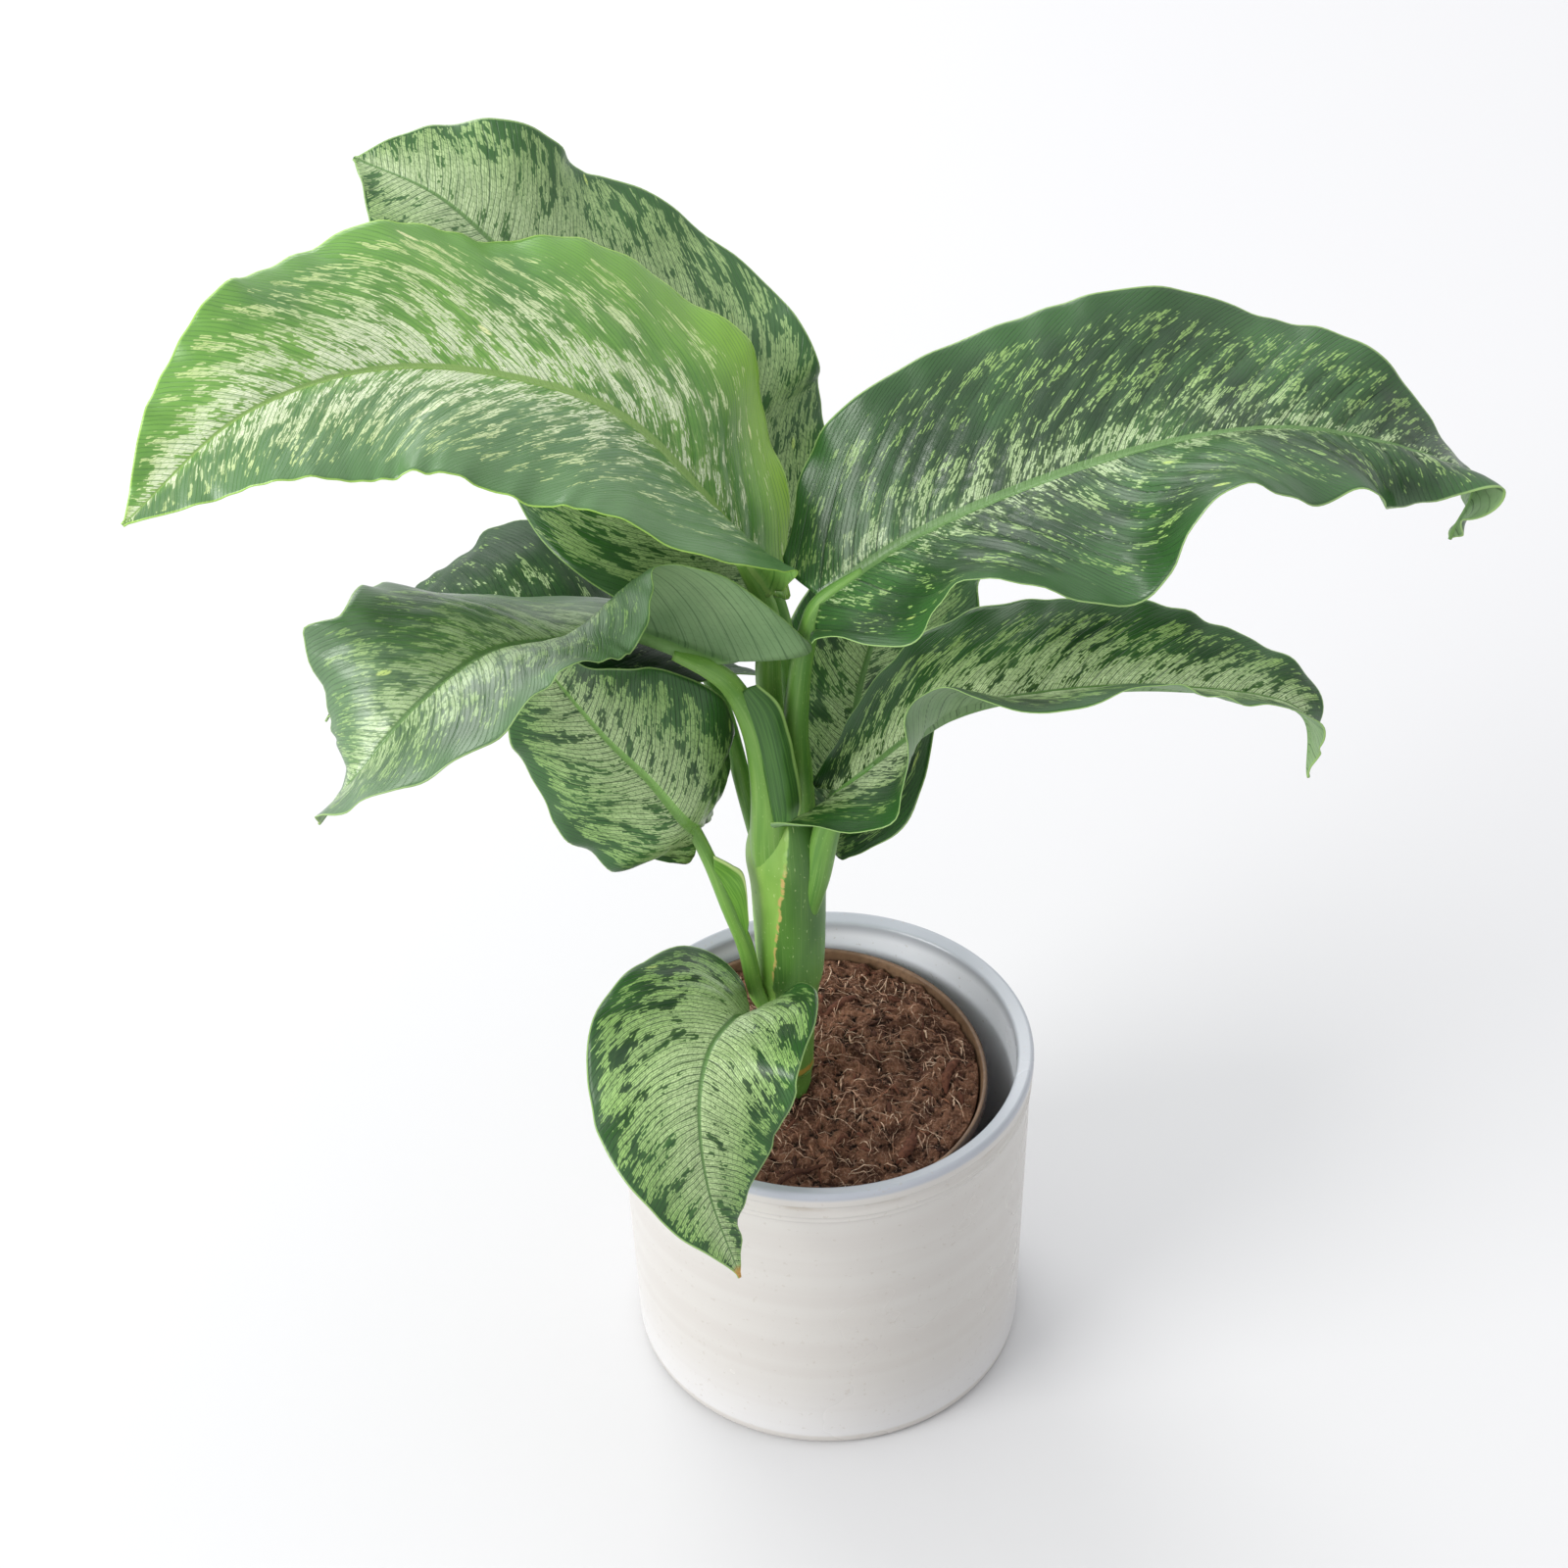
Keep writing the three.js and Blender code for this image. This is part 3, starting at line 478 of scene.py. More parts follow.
LEAVES["leaf_5"] = dict(
    rib=[[9, -9, 297], [47, -8, 329], [84, -18, 346], [132, -22, 350], [180, -24, 340], [188, -24, 308]],
    half_width=[43, 43], lobe=[0.5, 1],
    outline=[
        [0.38, 0.78, 0.94, 1, 1, 0.94, 0.84, 0.69, 0.44, 0.17, 0],
        [0.6, 1.1, 1.1, 1, 1, 0.94, 0.84, 0.69, 0.44, 0.17, 0],
    ],
    calm=4, roll=[25, 0, 0, -15], fold=[[35, 35, 20, 20], [10, -10, 45, 35, 35, 30, 25, 20, 20]],
    curl=[[-5, -15, 0], [20, 0, -15, -20, -5, 0, 0, -5, -5]], waves=[[3, 3, 0.55], [2, 5, 0.55]],
    stalk=[[-5, -8, 236, 4], [-1, -10, 257, 5.5], [4, -9, 281, 5.5]],
)
LEAVES["leaf_6"] = dict(
    rib=[[2, 23, 256], [13, 38, 281], [21, 64, 303], [33, 87, 327], [47, 108, 353], [63, 128, 380]],
    face=[0, -0.8, 0.6], half_width=[36, 50], lobe=[0.3, 0.35], roll=[15, 15, 0, -5],
    fold=[[30, 25, 30, 15], [20, 20, 20, 15]], curl=[[0, -5, 20], [25, 15, 15]],
    waves=[[4, 3, -0.35], [5, 3, -0.55]],
    stalk=[[-7, 7, 216, 2.5], [-4, 12, 230, 3.4], [-1, 18, 244, 3.4]],
)
LEAVES["leaf_7"] = dict(
    rib=[
        [-48, -7, 278], [-53, -18, 292], [-65, -16, 310], [-81, -13, 329], [-96, -10, 351], [-106, -11, 369],
    ],
    face=[-0.2, -0.8, 0.7], half_width=[42, 42], lobe=[0.8, 0.8], roll=[-30, 0, 15, 25],
    fold=[[5, 10, 10, 15], [-10, 10, 20, 20]], curl=[[-55, -40, 10], [-55, -35, 15]],
    waves=[[3, 3, 0.15], [4, 3, -0.05]],
    stalk=[
        [-20, -6, 178, 2.5], [-27, -9, 194, 3.4], [-31, -12, 222, 3.4], [-37, -12, 243, 3.2],
        [-43, -9, 262, 3],
    ],
    sheath=[
        [[-41, -11, 257], [-42, -12, 263], [-42, -13, 270]],
        [[-37, -13, 245], [-36, -13, 256], [-35, -14, 266]],
        [[-33, -14, 233], [-32, -14, 247], [-30, -14, 259]],
        [[-31, -14, 222], [-30, -14, 229], [-29, -14, 237]],
    ],
)
LEAVES["leaf_8"] = dict(
    rib=[[-47, 38, 334], [-86, 38, 348], [-122, 45, 356], [-155, 52, 345], [-182, 61, 319], [-204, 67, 286]],
    half_width=[49, 49], lobe=[1, 1], roll=[-15, 5, 5, 0], fold=[[10, -5, 0, 0], [10, 15, 10, 10]],
    curl=[[-5, -25, 0], [-15, -30, 0]], waves=[[2, 3, 0.3], [3, 3, 0.15]],
    stalk=[[-24, 9, 256, 3], [-29, 14, 282, 3.6], [-35, 24, 308, 3.5], [-41, 32, 324, 3.3]],
)
LEAVES["leaf_9"] = dict(
    rib=[
        [-30, -27, 196], [-36, -47, 214], [-46, -69, 216], [-50, -90, 204], [-47, -110, 181],
        [-36, -130, 155],
    ],
    face=[0, -0.3, 1], half_width=[38, 46], lobe=[0.5, 0.5], roll=[0, 5, 15, 30],
    fold=[[55, 20, 0, 5], [50, 5, 10, 15]], curl=[[10, -25, -10], [0, -15, 0]],
    waves=[[3, 3, 0.2], [4, 3, -0.85]],
    stalk=[[-17, -6, 160, 2.5], [-22, -13, 168, 3.2], [-27, -21, 181, 3]],
)

# How each blade looks. row, cell and patch: width and length of the pale cells and length of
# their clusters, in millimetres. clump and run: how strongly they stand in clusters and in
# streaks. near, far, right and base: how thick they stand at the midrib, at the margin, in the
# half with across above 0 and at the foot. spread and plain: where near and the cells end, as
# shares of the width. vein_lean: lean and bow of the side veins. quilt: distance and height of
# the bulges between the main ones. rib: half width of the midrib. dry and glow_to: shares of the
# length. Three numbers are a colour, and the rest are strengths.
PLAIN_LOOK = dict(
    dark=(24, 58, 24), mid=(50, 96, 40), pale_in=(190, 210, 162), pale_out=(156, 192, 106),
    fleck=(196, 220, 120), rib_dark=(82, 118, 62), rib_pale=(112, 150, 86),
    rim=(142, 176, 104), under=(108, 142, 94), under_pale=(134, 164, 116),
    row=0.8, cell=1.7, patch=11, clump=0.75, run=0.45, near=0.2, far=-0.5, right=0.0, base=-0.15,
    spread=0.5, plain=0.97, vein_lean=(0.5, 0.5), quilt=(11, 0.7), rib=2.8,
    strength=0.92, wash=0.3, veins=0.7, crease=0.35, rough=0.28, shine=0.5,
)

# Blades whose cells run together into pale fields with dark lines and islands
FIELD_LOOK = dict(
    PLAIN_LOOK, row=0.85, cell=2.0, patch=10, clump=1.0, run=0.25, veins=0.8, base=0.0,
    pale_in=(190, 212, 156), pale_out=(154, 194, 108),
)

LOOKS = {}
# Young leaf: a greyer green over one half as painted sheen, and a painted glow of light through the blade
# near its foot
LOOKS["leaf_1"] = dict(
    PLAIN_LOOK, dark=(66, 120, 38), mid=(104, 158, 56), low=(76, 116, 70),
    pale_in=(238, 243, 216), pale_out=(210, 226, 150), rib_dark=(118, 156, 72),
    rib_pale=(146, 180, 98), rim=(156, 200, 84), painted_glow=(134, 180, 34), glow_to=0.5,
    fleck=(240, 242, 180), under=(110, 158, 70), under_pale=(136, 180, 90),
    near=0.06, far=-0.4, right=0.15, base=-0.6, spread=0.85, clump=0.85, wash=0.4,
    vein_lean=(0.95, 0.4), quilt=(13, 0.8), rib=3.3, shine=0.75,
)
LOOKS["leaf_2"] = dict(
    FIELD_LOOK, near=0.8, far=0.12, spread=0.9, quilt=(12, 0.3), plain=1.06, veins=0.7, clump=0.9,
    dark=(44, 82, 40), pale_in=(198, 216, 168), pale_out=(170, 200, 130),
)
LOOKS["leaf_3"] = dict(
    PLAIN_LOOK, near=0.0, far=-0.32, quilt=(12, 2.3), spread=0.45, right=-0.14,
    vein_lean=(0.6, 0.45), crease=0.8, shine=0.65, run=0.6, row=0.75, cell=1.5,
)
# Leaf 4: dark and mid greens greyed, partly its own green and partly painted sheen
LOOKS["leaf_4"] = dict(
    PLAIN_LOOK, far=-0.35, spread=0.7, dry=0.985, wash=0.6, strength=0.8, clump=0.65,
    dark=(60, 93, 56), mid=(82, 120, 72), vein_lean=(0.7, 0.4), shine=0.8,
)
LOOKS["leaf_5"] = dict(
    PLAIN_LOOK, near=0.62, far=-0.2, spread=0.75, rib=2.0, plain=0.95, row=0.9, cell=2.2,
    pale_in=(206, 224, 176), vein_lean=(0.8, 0.4), shine=0.25,
)
LOOKS["leaf_6"] = dict(FIELD_LOOK, near=0.3, far=0.0, spread=0.9, rib=2.2)
LOOKS["leaf_7"] = dict(
    FIELD_LOOK, near=0.5, far=0.0, spread=0.9, rib=2.6, plain=0.95,
    rib_dark=(104, 148, 70), rib_pale=(128, 172, 86),
)
# Leaf 8 sits under the others: its mid green darkened as painted shade
LOOKS["leaf_8"] = dict(
    PLAIN_LOOK, near=-0.3, far=-0.6, spread=0.6, rib=2.2, mid=(36, 74, 30),
    shine=0.2, rough=0.4, wash=0.15,
)
LOOKS["leaf_9"] = dict(
    FIELD_LOOK, near=0.9, far=0.0, spread=0.9, rib=1.6, dry=0.965, plain=1.04,
    vein_lean=(0.35, 0.55), pale_in=(202, 224, 166), pale_out=(166, 206, 118),
)


def blade_surface(leaf, share, across):
    """Middle surface of a blade: points, reach from the midrib, forward shift and half width."""
    right = across >= 0
    outward = np.abs(across)
    direction = heading_along(leaf["rib"], share)
    side = unit(np.cross(direction, leaf.get("face", [0, 0, 1])))
    up = np.cross(side, direction)
    roll = np.radians(along(leaf["roll"], share))[..., None]
    side = side * np.cos(roll) + up * np.sin(roll)
    up = np.cross(side, direction)

    def halves(values):
        return np.where(right, values[1], values[0])

    def halves_along(values):
        return np.where(right, along(values[1], share), along(values[0], share))

    widest = halves(leaf["half_width"])
    width = np.maximum(widest * halves_along(leaf.get("outline", [OUTLINE, OUTLINE])), 0.8)
    fold = np.radians(halves_along(leaf["fold"]))
    curl = np.radians(halves_along(leaf["curl"]))
    curl = np.where(np.abs(curl) < 1e-4, 1e-4, curl)
    slope = fold + curl * outward
    sideways = width * (np.sin(slope) - np.sin(fold)) / curl
    upwards = width * (np.cos(fold) - np.cos(slope)) / curl
    sweep = halves_along([[SWEEP[0] * lobe, SWEEP[1] * lobe, *SWEEP[2:]] for lobe in leaf["lobe"]])
    round_lobe = outward**1.3 * (2.2 - 1.2 * outward**2)
    forwards = widest * sweep * np.where(sweep < 0, round_lobe, outward**1.5)

    height, count, start = (halves(values) for values in zip(*leaf["waves"]))
    share_in = np.clip(share, 0, 1)
    ends = np.sqrt(np.maximum(0, np.sin(np.pi * share_in))) * (1 - share_in ** leaf.get("calm", 12))
    wave = height * outward**2 * ends * np.sin(2 * np.pi * (count * share + start))
    sideways = sideways - wave * np.sin(slope)
    upwards = upwards + wave * np.cos(slope)

    points = along(leaf["rib"], share)
    points = points + side * (np.where(right, 1, -1) * sideways)[..., None]
    points = points + up * upwards[..., None] + direction * forwards[..., None]
    return points, width * outward, forwards, width


# Mesh of a blade, half its thickness, and the midrib below it and the groove above it, at the foot
ROW_STEP = 1.9
COLUMNS_PER_MM = 0.72
HALF_THICK = 0.36
RIDGE = 2.9
GROOVE = 0.7


def grid_normals(points):
    lengthways = np.gradient(points, axis=0)
    crossways = np.gradient(points, axis=1)
    return unit(np.cross(crossways, lengthways))


def blade(gather, leaf, look, seed):
    """Both faces of a blade, with bulges, midrib and margin, and the marks that its skins read."""
    lengths = lengths_along(leaf["rib"], 200)
    widest = max(leaf["half_width"])
    rows = int(lengths[-1] / ROW_STEP)
    half = int(widest * COLUMNS_PER_MM)
    step = np.linspace(-1, 1, 2 * half + 1)
    columns = step * (0.4 + 0.6 * np.abs(step))
    share, across = np.meshgrid(np.linspace(0, 1, rows + 1), columns, indexing="ij")
    points, reach, forwards, width = blade_surface(leaf, share, across)
    outward = np.abs(across)
    length = np.interp(share, np.linspace(0, 1, 200), lengths)
    lean, bow = look["vein_lean"]
    vein = length + forwards - lean * reach - bow * reach**2 / widest
    signed = reach * np.where(across < 0, -1, 1)
    normals = grid_normals(points)

    # Bulges between the main side veins, unevenness and an unsteady margin
    spacing, height = look["quilt"]
    flat = join(vein, signed)
    phase = (vein + 1.6 * swell(flat, 70, seed + 1)) / spacing
    bulge = np.abs(np.sin(np.pi * phase)) ** 0.6 - 0.7
    inner = rise(outward, 0.0, 0.12) * rise(outward, 1.0, 0.55) * rise(share, 1.0, 0.8)
    stronger = 0.75 + 0.4 * swell(flat, 90, seed + 2)
    rough = 0.5 * swell(points, 34, seed + 3) + 0.18 * swell(points, 13, seed + 4)
    edge = outward**5 * rise(share, 0, 0.06) * rise(share, 1, 0.92)
    flutter = edge * 0.7 * swell(length[..., None] + 500 * (across[..., None] > 0), 17, seed + 5)
    lift = height * bulge * inner * stronger + rough * 0.7 * rise(outward, 0, 0.2) + flutter
    points = points + normals * lift[..., None]
    normals = grid_normals(points)

    rib_half = (look["rib"] + 0.4) * (1 - share) + 0.5
    channel = np.maximum(0, 1 - (reach / rib_half) ** 2)
    depth = GROOVE * (1 - share) ** 0.7
    ridge_half = RIDGE * (1 - share) + 0.7
    ridge = np.sqrt(np.maximum(0, 1 - (reach / ridge_half) ** 2)) * (RIDGE * (1 - share) + 0.3)
    thick = HALF_THICK * (1 - 0.6 * outward**12)
    top = points + normals * (thick - depth * channel**1.5)[..., None]
    low = points - normals * (thick + ridge)[..., None]
    place = join(share, across, (1 - outward) * width)
    sheet(gather, top, low, TOP, UNDER, vein=join(vein, signed, phase), place=place)


def sheet(gather, top, low, top_kind, low_kind, **marks):
    """Closed sheet of two grids of points, joined round their whole edge."""
    rows, columns = top.shape[:2]
    start = gather.count
    gather.add(top, grid_faces(rows, columns), top_kind, **marks)
    gather.add(low, grid_faces(rows, columns, flip=True), low_kind, **marks)
    at = np.arange(rows * columns).reshape(rows, columns) + start
    loop = np.concatenate([at[0], at[1:, -1], at[-1, -2::-1], at[-2:0:-1, 0]])
    after = np.roll(loop, -1)
    under = rows * columns
    faces = join(loop, loop + under, after + under, after)
    gather.faces += [list(face) for face in faces]
    gather.kinds += [UNDER] * len(faces)


def tube(gather, points, sides, step, kind, bulge=None):
    """Round tube through points of x, y, z and radius, closed at both ends."""
    points = np.asarray(points, float)
    lengths = lengths_along(points[:, :3], 100)
    rings = max(3, int(lengths[-1] / step))
    share, turn = np.meshgrid(
        np.linspace(0, 1, rings + 1), np.arange(sides) / sides * 2 * np.pi, indexing="ij"
    )
    centre = along(points[:, :3], share)
    direction = heading_along(points[:, :3], share)
    side = unit(np.cross(np.array([0, 1.0, 0]), direction))
    front = np.cross(direction, side)
    radius = along(points[:, 3], share)
    if bulge:
        radius = radius + bulge(turn, centre[..., 2])
    ring = side * np.cos(turn)[..., None] + front * np.sin(turn)[..., None]
    surface = centre + ring * radius[..., None]
    length = np.interp(share, np.linspace(0, 1, 100), lengths)
    stem = join(turn, length, share)
    start = gather.count
    gather.add(surface, grid_faces(rings + 1, sides, closed=True), kind, stem=stem)
    gather.cap(start, sides, kind, flip=True)
    gather.cap(start + rings * sides, sides, kind)


def stalk_points(leaf):
    """Stalk that runs on under the foot of the midrib and sinks into it."""
    start = along(leaf["rib"], np.array([0.0]))[0]
    inside = along(leaf["rib"], np.array([0.07]))[0]
    share, across = np.meshgrid([0.02, 0.03, 0.04], [-0.02, 0.0, 0.02], indexing="ij")
    up = grid_normals(blade_surface(leaf, share, across)[0])[1, 1]
    radius = leaf["stalk"][-1][3]
    return [
        *leaf["stalk"],
        [*(start - up * radius * 0.7), radius * 0.9],
        [*(inside - up * radius * 0.5), radius * 0.6],
    ]


def sheath_wing(gather, rows, seed):
    """Thin open sheath beside a stalk."""
    grid = np.asarray(rows, float)
    share, across = np.meshgrid(np.linspace(0, 1, 40), np.linspace(0, 1, 15), indexing="ij")
    columns = np.stack([along(grid[:, k], share[:, 0]) for k in range(3)], axis=1)
    points = np.stack([along(column, places) for column, places in zip(columns, across)])
    normals = grid_normals(points)
    points = points + normals * (0.5 * across * swell(points, 14, seed))[..., None]
    thick = 0.5 - 0.25 * across
    outside = points + normals * thick[..., None]
    inside = points - normals * thick[..., None]
    stem = join(across * 1.5, share * 50, share)
    place = join(share, across * 0, (1 - across) * 8)
    sheet(gather, outside, inside, SHEATH, SHEATH, stem=stem, place=place)


def sheath_skin(name, low, high, edge):
    """Sheath: green with fine fibres and a pale edge."""
    s = surface(name, roughness=0.45, specular=0.4)
    turn, height, _ = s.mark("stem")
    _, _, margin = s.mark("place")
    fibre = s.noise(s.scaled(turn, 12.0, height, 1 / 30))
    colour = s.mix(s.rise(fibre, 0.35, 0.65), low, high)
    colour = s.mix(s.rise(margin, 1.2, 0.5), colour, edge)
    return s.done(colour, fibre, 0.0003, 0.35)


stem_green = stem_skin("stalk green", (84, 132, 54), (112, 158, 68), (160, 192, 112))
stem_fresh = stem_skin("stalk fresh green", (98, 146, 60), (124, 168, 76), (170, 200, 120))
stem_dull = stem_skin("stalk dull green", (72, 114, 58), (94, 138, 70), (140, 172, 108))
sheath_green = sheath_skin("sheath green", (84, 134, 46), (108, 156, 58), (176, 200, 124))
# Darker copy of the sheath green: painted shade for the shaded inside of leaf 4's open sheath
sheath_painted_shade = sheath_skin("sheath deep green", (50, 92, 38), (74, 118, 50), (150, 186, 104))
STEMS = {"leaf_1": stem_fresh, "leaf_4": stem_fresh, "leaf_7": stem_fresh, "leaf_9": stem_dull}

for index, (name, leaf) in enumerate(LEAVES.items()):
    look = dict(LOOKS[name], seed=index * 7.0)
    gather = Gather()
    blade(gather, leaf, look, 100 * index)
    tube(gather, stalk_points(leaf), 24, 2.0, STALK)
    if "sheath" in leaf:
        sheath_wing(gather, leaf["sheath"], index)
    skins = [
        leaf_top(name + " upper face", look),
        leaf_underside(name + " lower face", look),
        STEMS.get(name, stem_green),
        sheath_painted_shade if name == "leaf_4" else sheath_green,
    ]
    gather.piece(name + "_blade", skins, name, "young_leaf" if name == "leaf_1" else "leaf")

# Cane: x, y, z and radius up the plant. The outermost sheath overlaps at a seam that turns from
# its foot to its top, and the ring of a fallen leaf stands lower down.
CANE = [
    [-17, -3, 92, 9], [-17, -3, 130, 11], [-16, -3, 146, 11], [-16, -3, 151, 12], [-15, -3, 156, 11],
    [-14, -2, 176, 11], [-13, -2, 190, 11.5], [-13, -1, 198, 13.5], [-13, -1, 212, 14.5], [-13, 0, 228, 15],
    [-13, 0, 245, 15.5], [-13, 1, 258, 17], [-13, 1, 267, 16], [-13, 1, 274, 13], [-13, 2, 281, 8],
]
SHEATH_FOOT, SHEATH_TOP = 196, 281
SEAM_FOOT, SEAM_TURN = 235, 40
RING = 152


def lap(turn, height):
    """How far the outer sheath stands out, from its seam round the cane."""
    up = (height - SHEATH_FOOT) / (SHEATH_TOP - SHEATH_FOOT)
    seam = np.radians(SEAM_FOOT - 360 + SEAM_TURN * up)
    past = np.mod(turn - seam, 2 * np.pi) / (2 * np.pi)
    return np.where(up < 0, 0, 1.4 * (0.5 - past) * np.clip(up * 6, 0, 1))


def cane_skin():
    """Cane: light on one side of the seam and deep green on the other, partly the outer sheath's own colour
    and partly painted shade, with streaks and dots.
    """
    s = surface("cane skin", specular=0.45)
    turn, height, _ = s.mark("stem")
    z = s.times(s.node("SeparateXYZ", {0: s.place()}).outputs[2], 1 / MM)
    tone = s.noise(s.scaled(turn, 1.0, height, 1 / 50))
    fibre = s.noise(s.scaled(turn, 20.0, height, 1 / 45), 1.0, 3.0)
    dots = s.noise(s.scaled(turn, 13.0, height, 1 / 2.6), 1.0, 1.0)
    seam_top = SEAM_FOOT + SEAM_TURN
    seam_at = s.line(z, SHEATH_FOOT, SHEATH_TOP, math.radians(SEAM_FOOT), math.radians(seam_top))
    off = s.plus(turn, s.times(seam_at, -1))
    off = s.plus(off, s.shift(s.noise(s.vector(0.0, s.times(height, 0.16))), 0.12))
    past = s.math("FLOORED_MODULO", off, 2 * math.pi)
    # Deep green side: partly the outer sheath's own colour, partly painted shade on the side away from the
    # key light
    shaded = s.times(s.rise(past, 0.0, 0.05), s.rise(past, 3.0, 1.6))
    light = s.patches(tone, (120, 166, 70), (150, 190, 92))
    deep = s.patches(tone, (66, 108, 44), (88, 132, 56))
    colour = s.mix(shaded, light, deep)
    colour = s.over(colour, (98, 140, 56), s.rise(z, 200, 160), 0.5)
    colour = s.over(colour, (176, 208, 112), s.rise(fibre, 0.5, 0.75), 0.12)
    colour = s.over(colour, (196, 216, 150), s.rise(dots, 0.68, 0.75), 0.45)
    # Scar of a fallen leaf round the node and the dry edge of the outermost sheath
    wander = s.shift(s.noise(s.vector(s.times(turn, 3.0), 0.0)), 1.5)
    scar = s.away(s.plus(s.plus(z, -RING), wander))
    colour = s.over(colour, (170, 130, 50), s.rise(scar, 2.2, 0.6), 0.8)
    worn = s.rise(s.noise(s.vector(0.0, s.times(height, 0.3)), 1.0, 3.0), 0.42, 0.5)
    dry = s.times(s.rise(s.away(off), 0.07, 0.02), s.times(s.rise(z, 202, 208), s.rise(z, 268, 258)))
    colour = s.over(colour, (196, 168, 104), dry, worn)
    return s.done(colour, fibre, 0.0003, 0.4, s.swing(fibre, 0.36, 0.5))


gather = Gather()
tube(gather, CANE, 96, 1.5, 0, bulge=lap)
gather.piece("cane_skin", [cane_skin()], "cane", "cane")


# Pots and peat

def turned(gather, profile, segments, matrix=None):
    """Body of revolution from a profile of radius and height, closed in the middle of both ends."""
    profile = np.asarray(profile, float)
    turn = np.arange(segments) / segments * 2 * np.pi
    radius, height = profile[:, 0][:, None], profile[:, 1][:, None]
    points = join(radius * np.cos(turn), radius * np.sin(turn), height + 0 * turn)
    places = join(radius + 0 * turn, height + 0 * turn, 0 * radius + turn)
    points = points.reshape(-1, 3)
    if matrix is not None:
        points = leaned(points, matrix)
    rings = len(profile)
    start = gather.count
    gather.add(points, grid_faces(rings, segments, closed=True), 0, turned=places)
    gather.cap(start, segments, 0, flip=True)
    gather.cap(start + (rings - 1) * segments, segments, 0)


def rounded(profile, step=1.2, longest=12):
    """Profile through the given points, smooth past each and straight where it is longer."""
    points = np.asarray(profile, float)
    fine = [points[0]]
    for k in range(len(points) - 1):
        before, after = points[max(k - 1, 0)], points[min(k + 2, len(points) - 1)]
        start, end = points[k], points[k + 1]
        size = np.linalg.norm(end - start)
        slope_in, slope_out = unit(end - before) * size, unit(after - start) * size
        count = max(2, int(size / step))
        if size > longest:
            slope_in = slope_out = end - start
            count = 10
        for t in np.linspace(0, 1, count + 1)[1:]:
            h = np.array([2 * t**3 - 3 * t**2 + 1, t**3 - 2 * t**2 + t, 3 * t**2 - 2 * t**3, t**3 - t**2])
            fine.append(h[0] * start + h[1] * slope_in + h[2] * end + h[3] * slope_out)
    return fine


def leaned(points, matrix):
    turn = np.array(matrix.to_3x3())
    return points @ turn.T + np.array(matrix.translation)


def glaze():
    """Thin glaze: warm grey outside, cooler grey over the rim and inside, with painted light making the
    inside nearly white below the rim.
    """
    s = surface("pot glaze", specular=0.5)
    radius, height, turn = s.mark("turned")
    bands = s.noise(s.vector(0.0, s.times(height, 0.09)), 1.0, 3.0)
    cloud = s.noise(s.place(), 9.0, 4.0, 0.6)
    speck = s.noise(s.place(), 420.0, 2.0)
    outside = s.mix(s.rise(bands, 0.35, 0.65), (194, 190, 185), (197, 194, 189))
    outside = s.over(outside, (190, 183, 174), s.rise(cloud, 0.45, 0.75), 0.25)
    inside = s.patches(cloud, (168, 172, 180), (180, 183, 190))
    # Painted light: the inside below the rim painted nearly white
    inside = s.mix(s.rise(height, 154.0, 148.0), inside, (232, 235, 242))
    cooler = s.math("MAXIMUM", s.rise(radius, 87.6, 86.0), s.rise(height, 152.6, 154.6))
    cooler = s.times(cooler, s.rise(height, 5.0, 7.0))
    colour = s.mix(cooler, outside, inside)
    stain = s.times(s.rise(height, 146.2, 148.2), s.rise(height, 150.6, 148.8))
    streak = s.noise(s.scaled(turn, 4.0, height, 0.15), 1.0, 3.0)
    stain = s.times(stain, s.times(s.rise(radius, 87.0, 88.4), s.rise(streak, 0.4, 0.7)))
    colour = s.over(colour, (170, 158, 142), stain, 0.7)
    colour = s.over(colour, (170, 160, 148), s.rise(speck, 0.66, 0.72), 0.3)
    return s.done(colour, s.noise(s.place(), 25.0), 0.0004, 0.1, s.swing(cloud, 0.2, 0.32))


# Round the foot, up the outside past two beads and the groove under the rim, and down inside
POT_PROFILE = [
    [0.5, 0], [80, 0], [83, 0.1], [85.4, 1], [86.6, 3], [87, 7], [87.4, 40], [88, 80], [88.6, 120],
    [88.8, 139], [89, 140.4], [89.4, 141.2], [89.1, 142.1], [89.1, 142.9], [89.6, 143.9], [89.3, 145],
    [88.9, 145.8], [88.8, 148.4], [89.1, 149.2], [89.8, 149.8], [90, 150.8], [90, 154.6], [89.8, 155.9],
    [89.2, 156.7], [88.4, 156.9], [87.4, 156.6], [84.6, 155.6], [83.5, 155], [83, 153.8], [82.6, 149],
    [82.3, 120], [81.6, 60], [81, 12], [80.4, 9], [79, 7.4], [76, 6.2], [70, 6], [0.5, 6],
]

gather = Gather()
turned(gather, rounded(POT_PROFILE), 200)
gather.piece("outer_pot_glazed", [glaze()], "outer_pot", "glaze")

# The nursery pot leans on its foot, which stands on the floor of the outer pot
RIM_CENTRE = Vector((-3, 4, 140))
HEADING = math.radians(-55)
TILT = math.radians(5)
LEAN = Matrix.Translation(RIM_CENTRE) @ Matrix.Rotation(
    TILT, 4, Vector((-math.sin(HEADING), math.cos(HEADING), 0))
)
POT_FLOOR = 6
NURSERY_TOP, NURSERY_FOOT, NURSERY_WALL = 73.3, 56, 1.2
NURSERY_HEIGHT = (RIM_CENTRE.z - POT_FLOOR - 0.3 - NURSERY_FOOT * math.sin(TILT)) / math.cos(TILT)


def nursery_inside(depth):
    """Inner radius of the nursery pot below its rim."""
    return NURSERY_TOP + (NURSERY_FOOT - NURSERY_TOP) * depth / NURSERY_HEIGHT - NURSERY_WALL


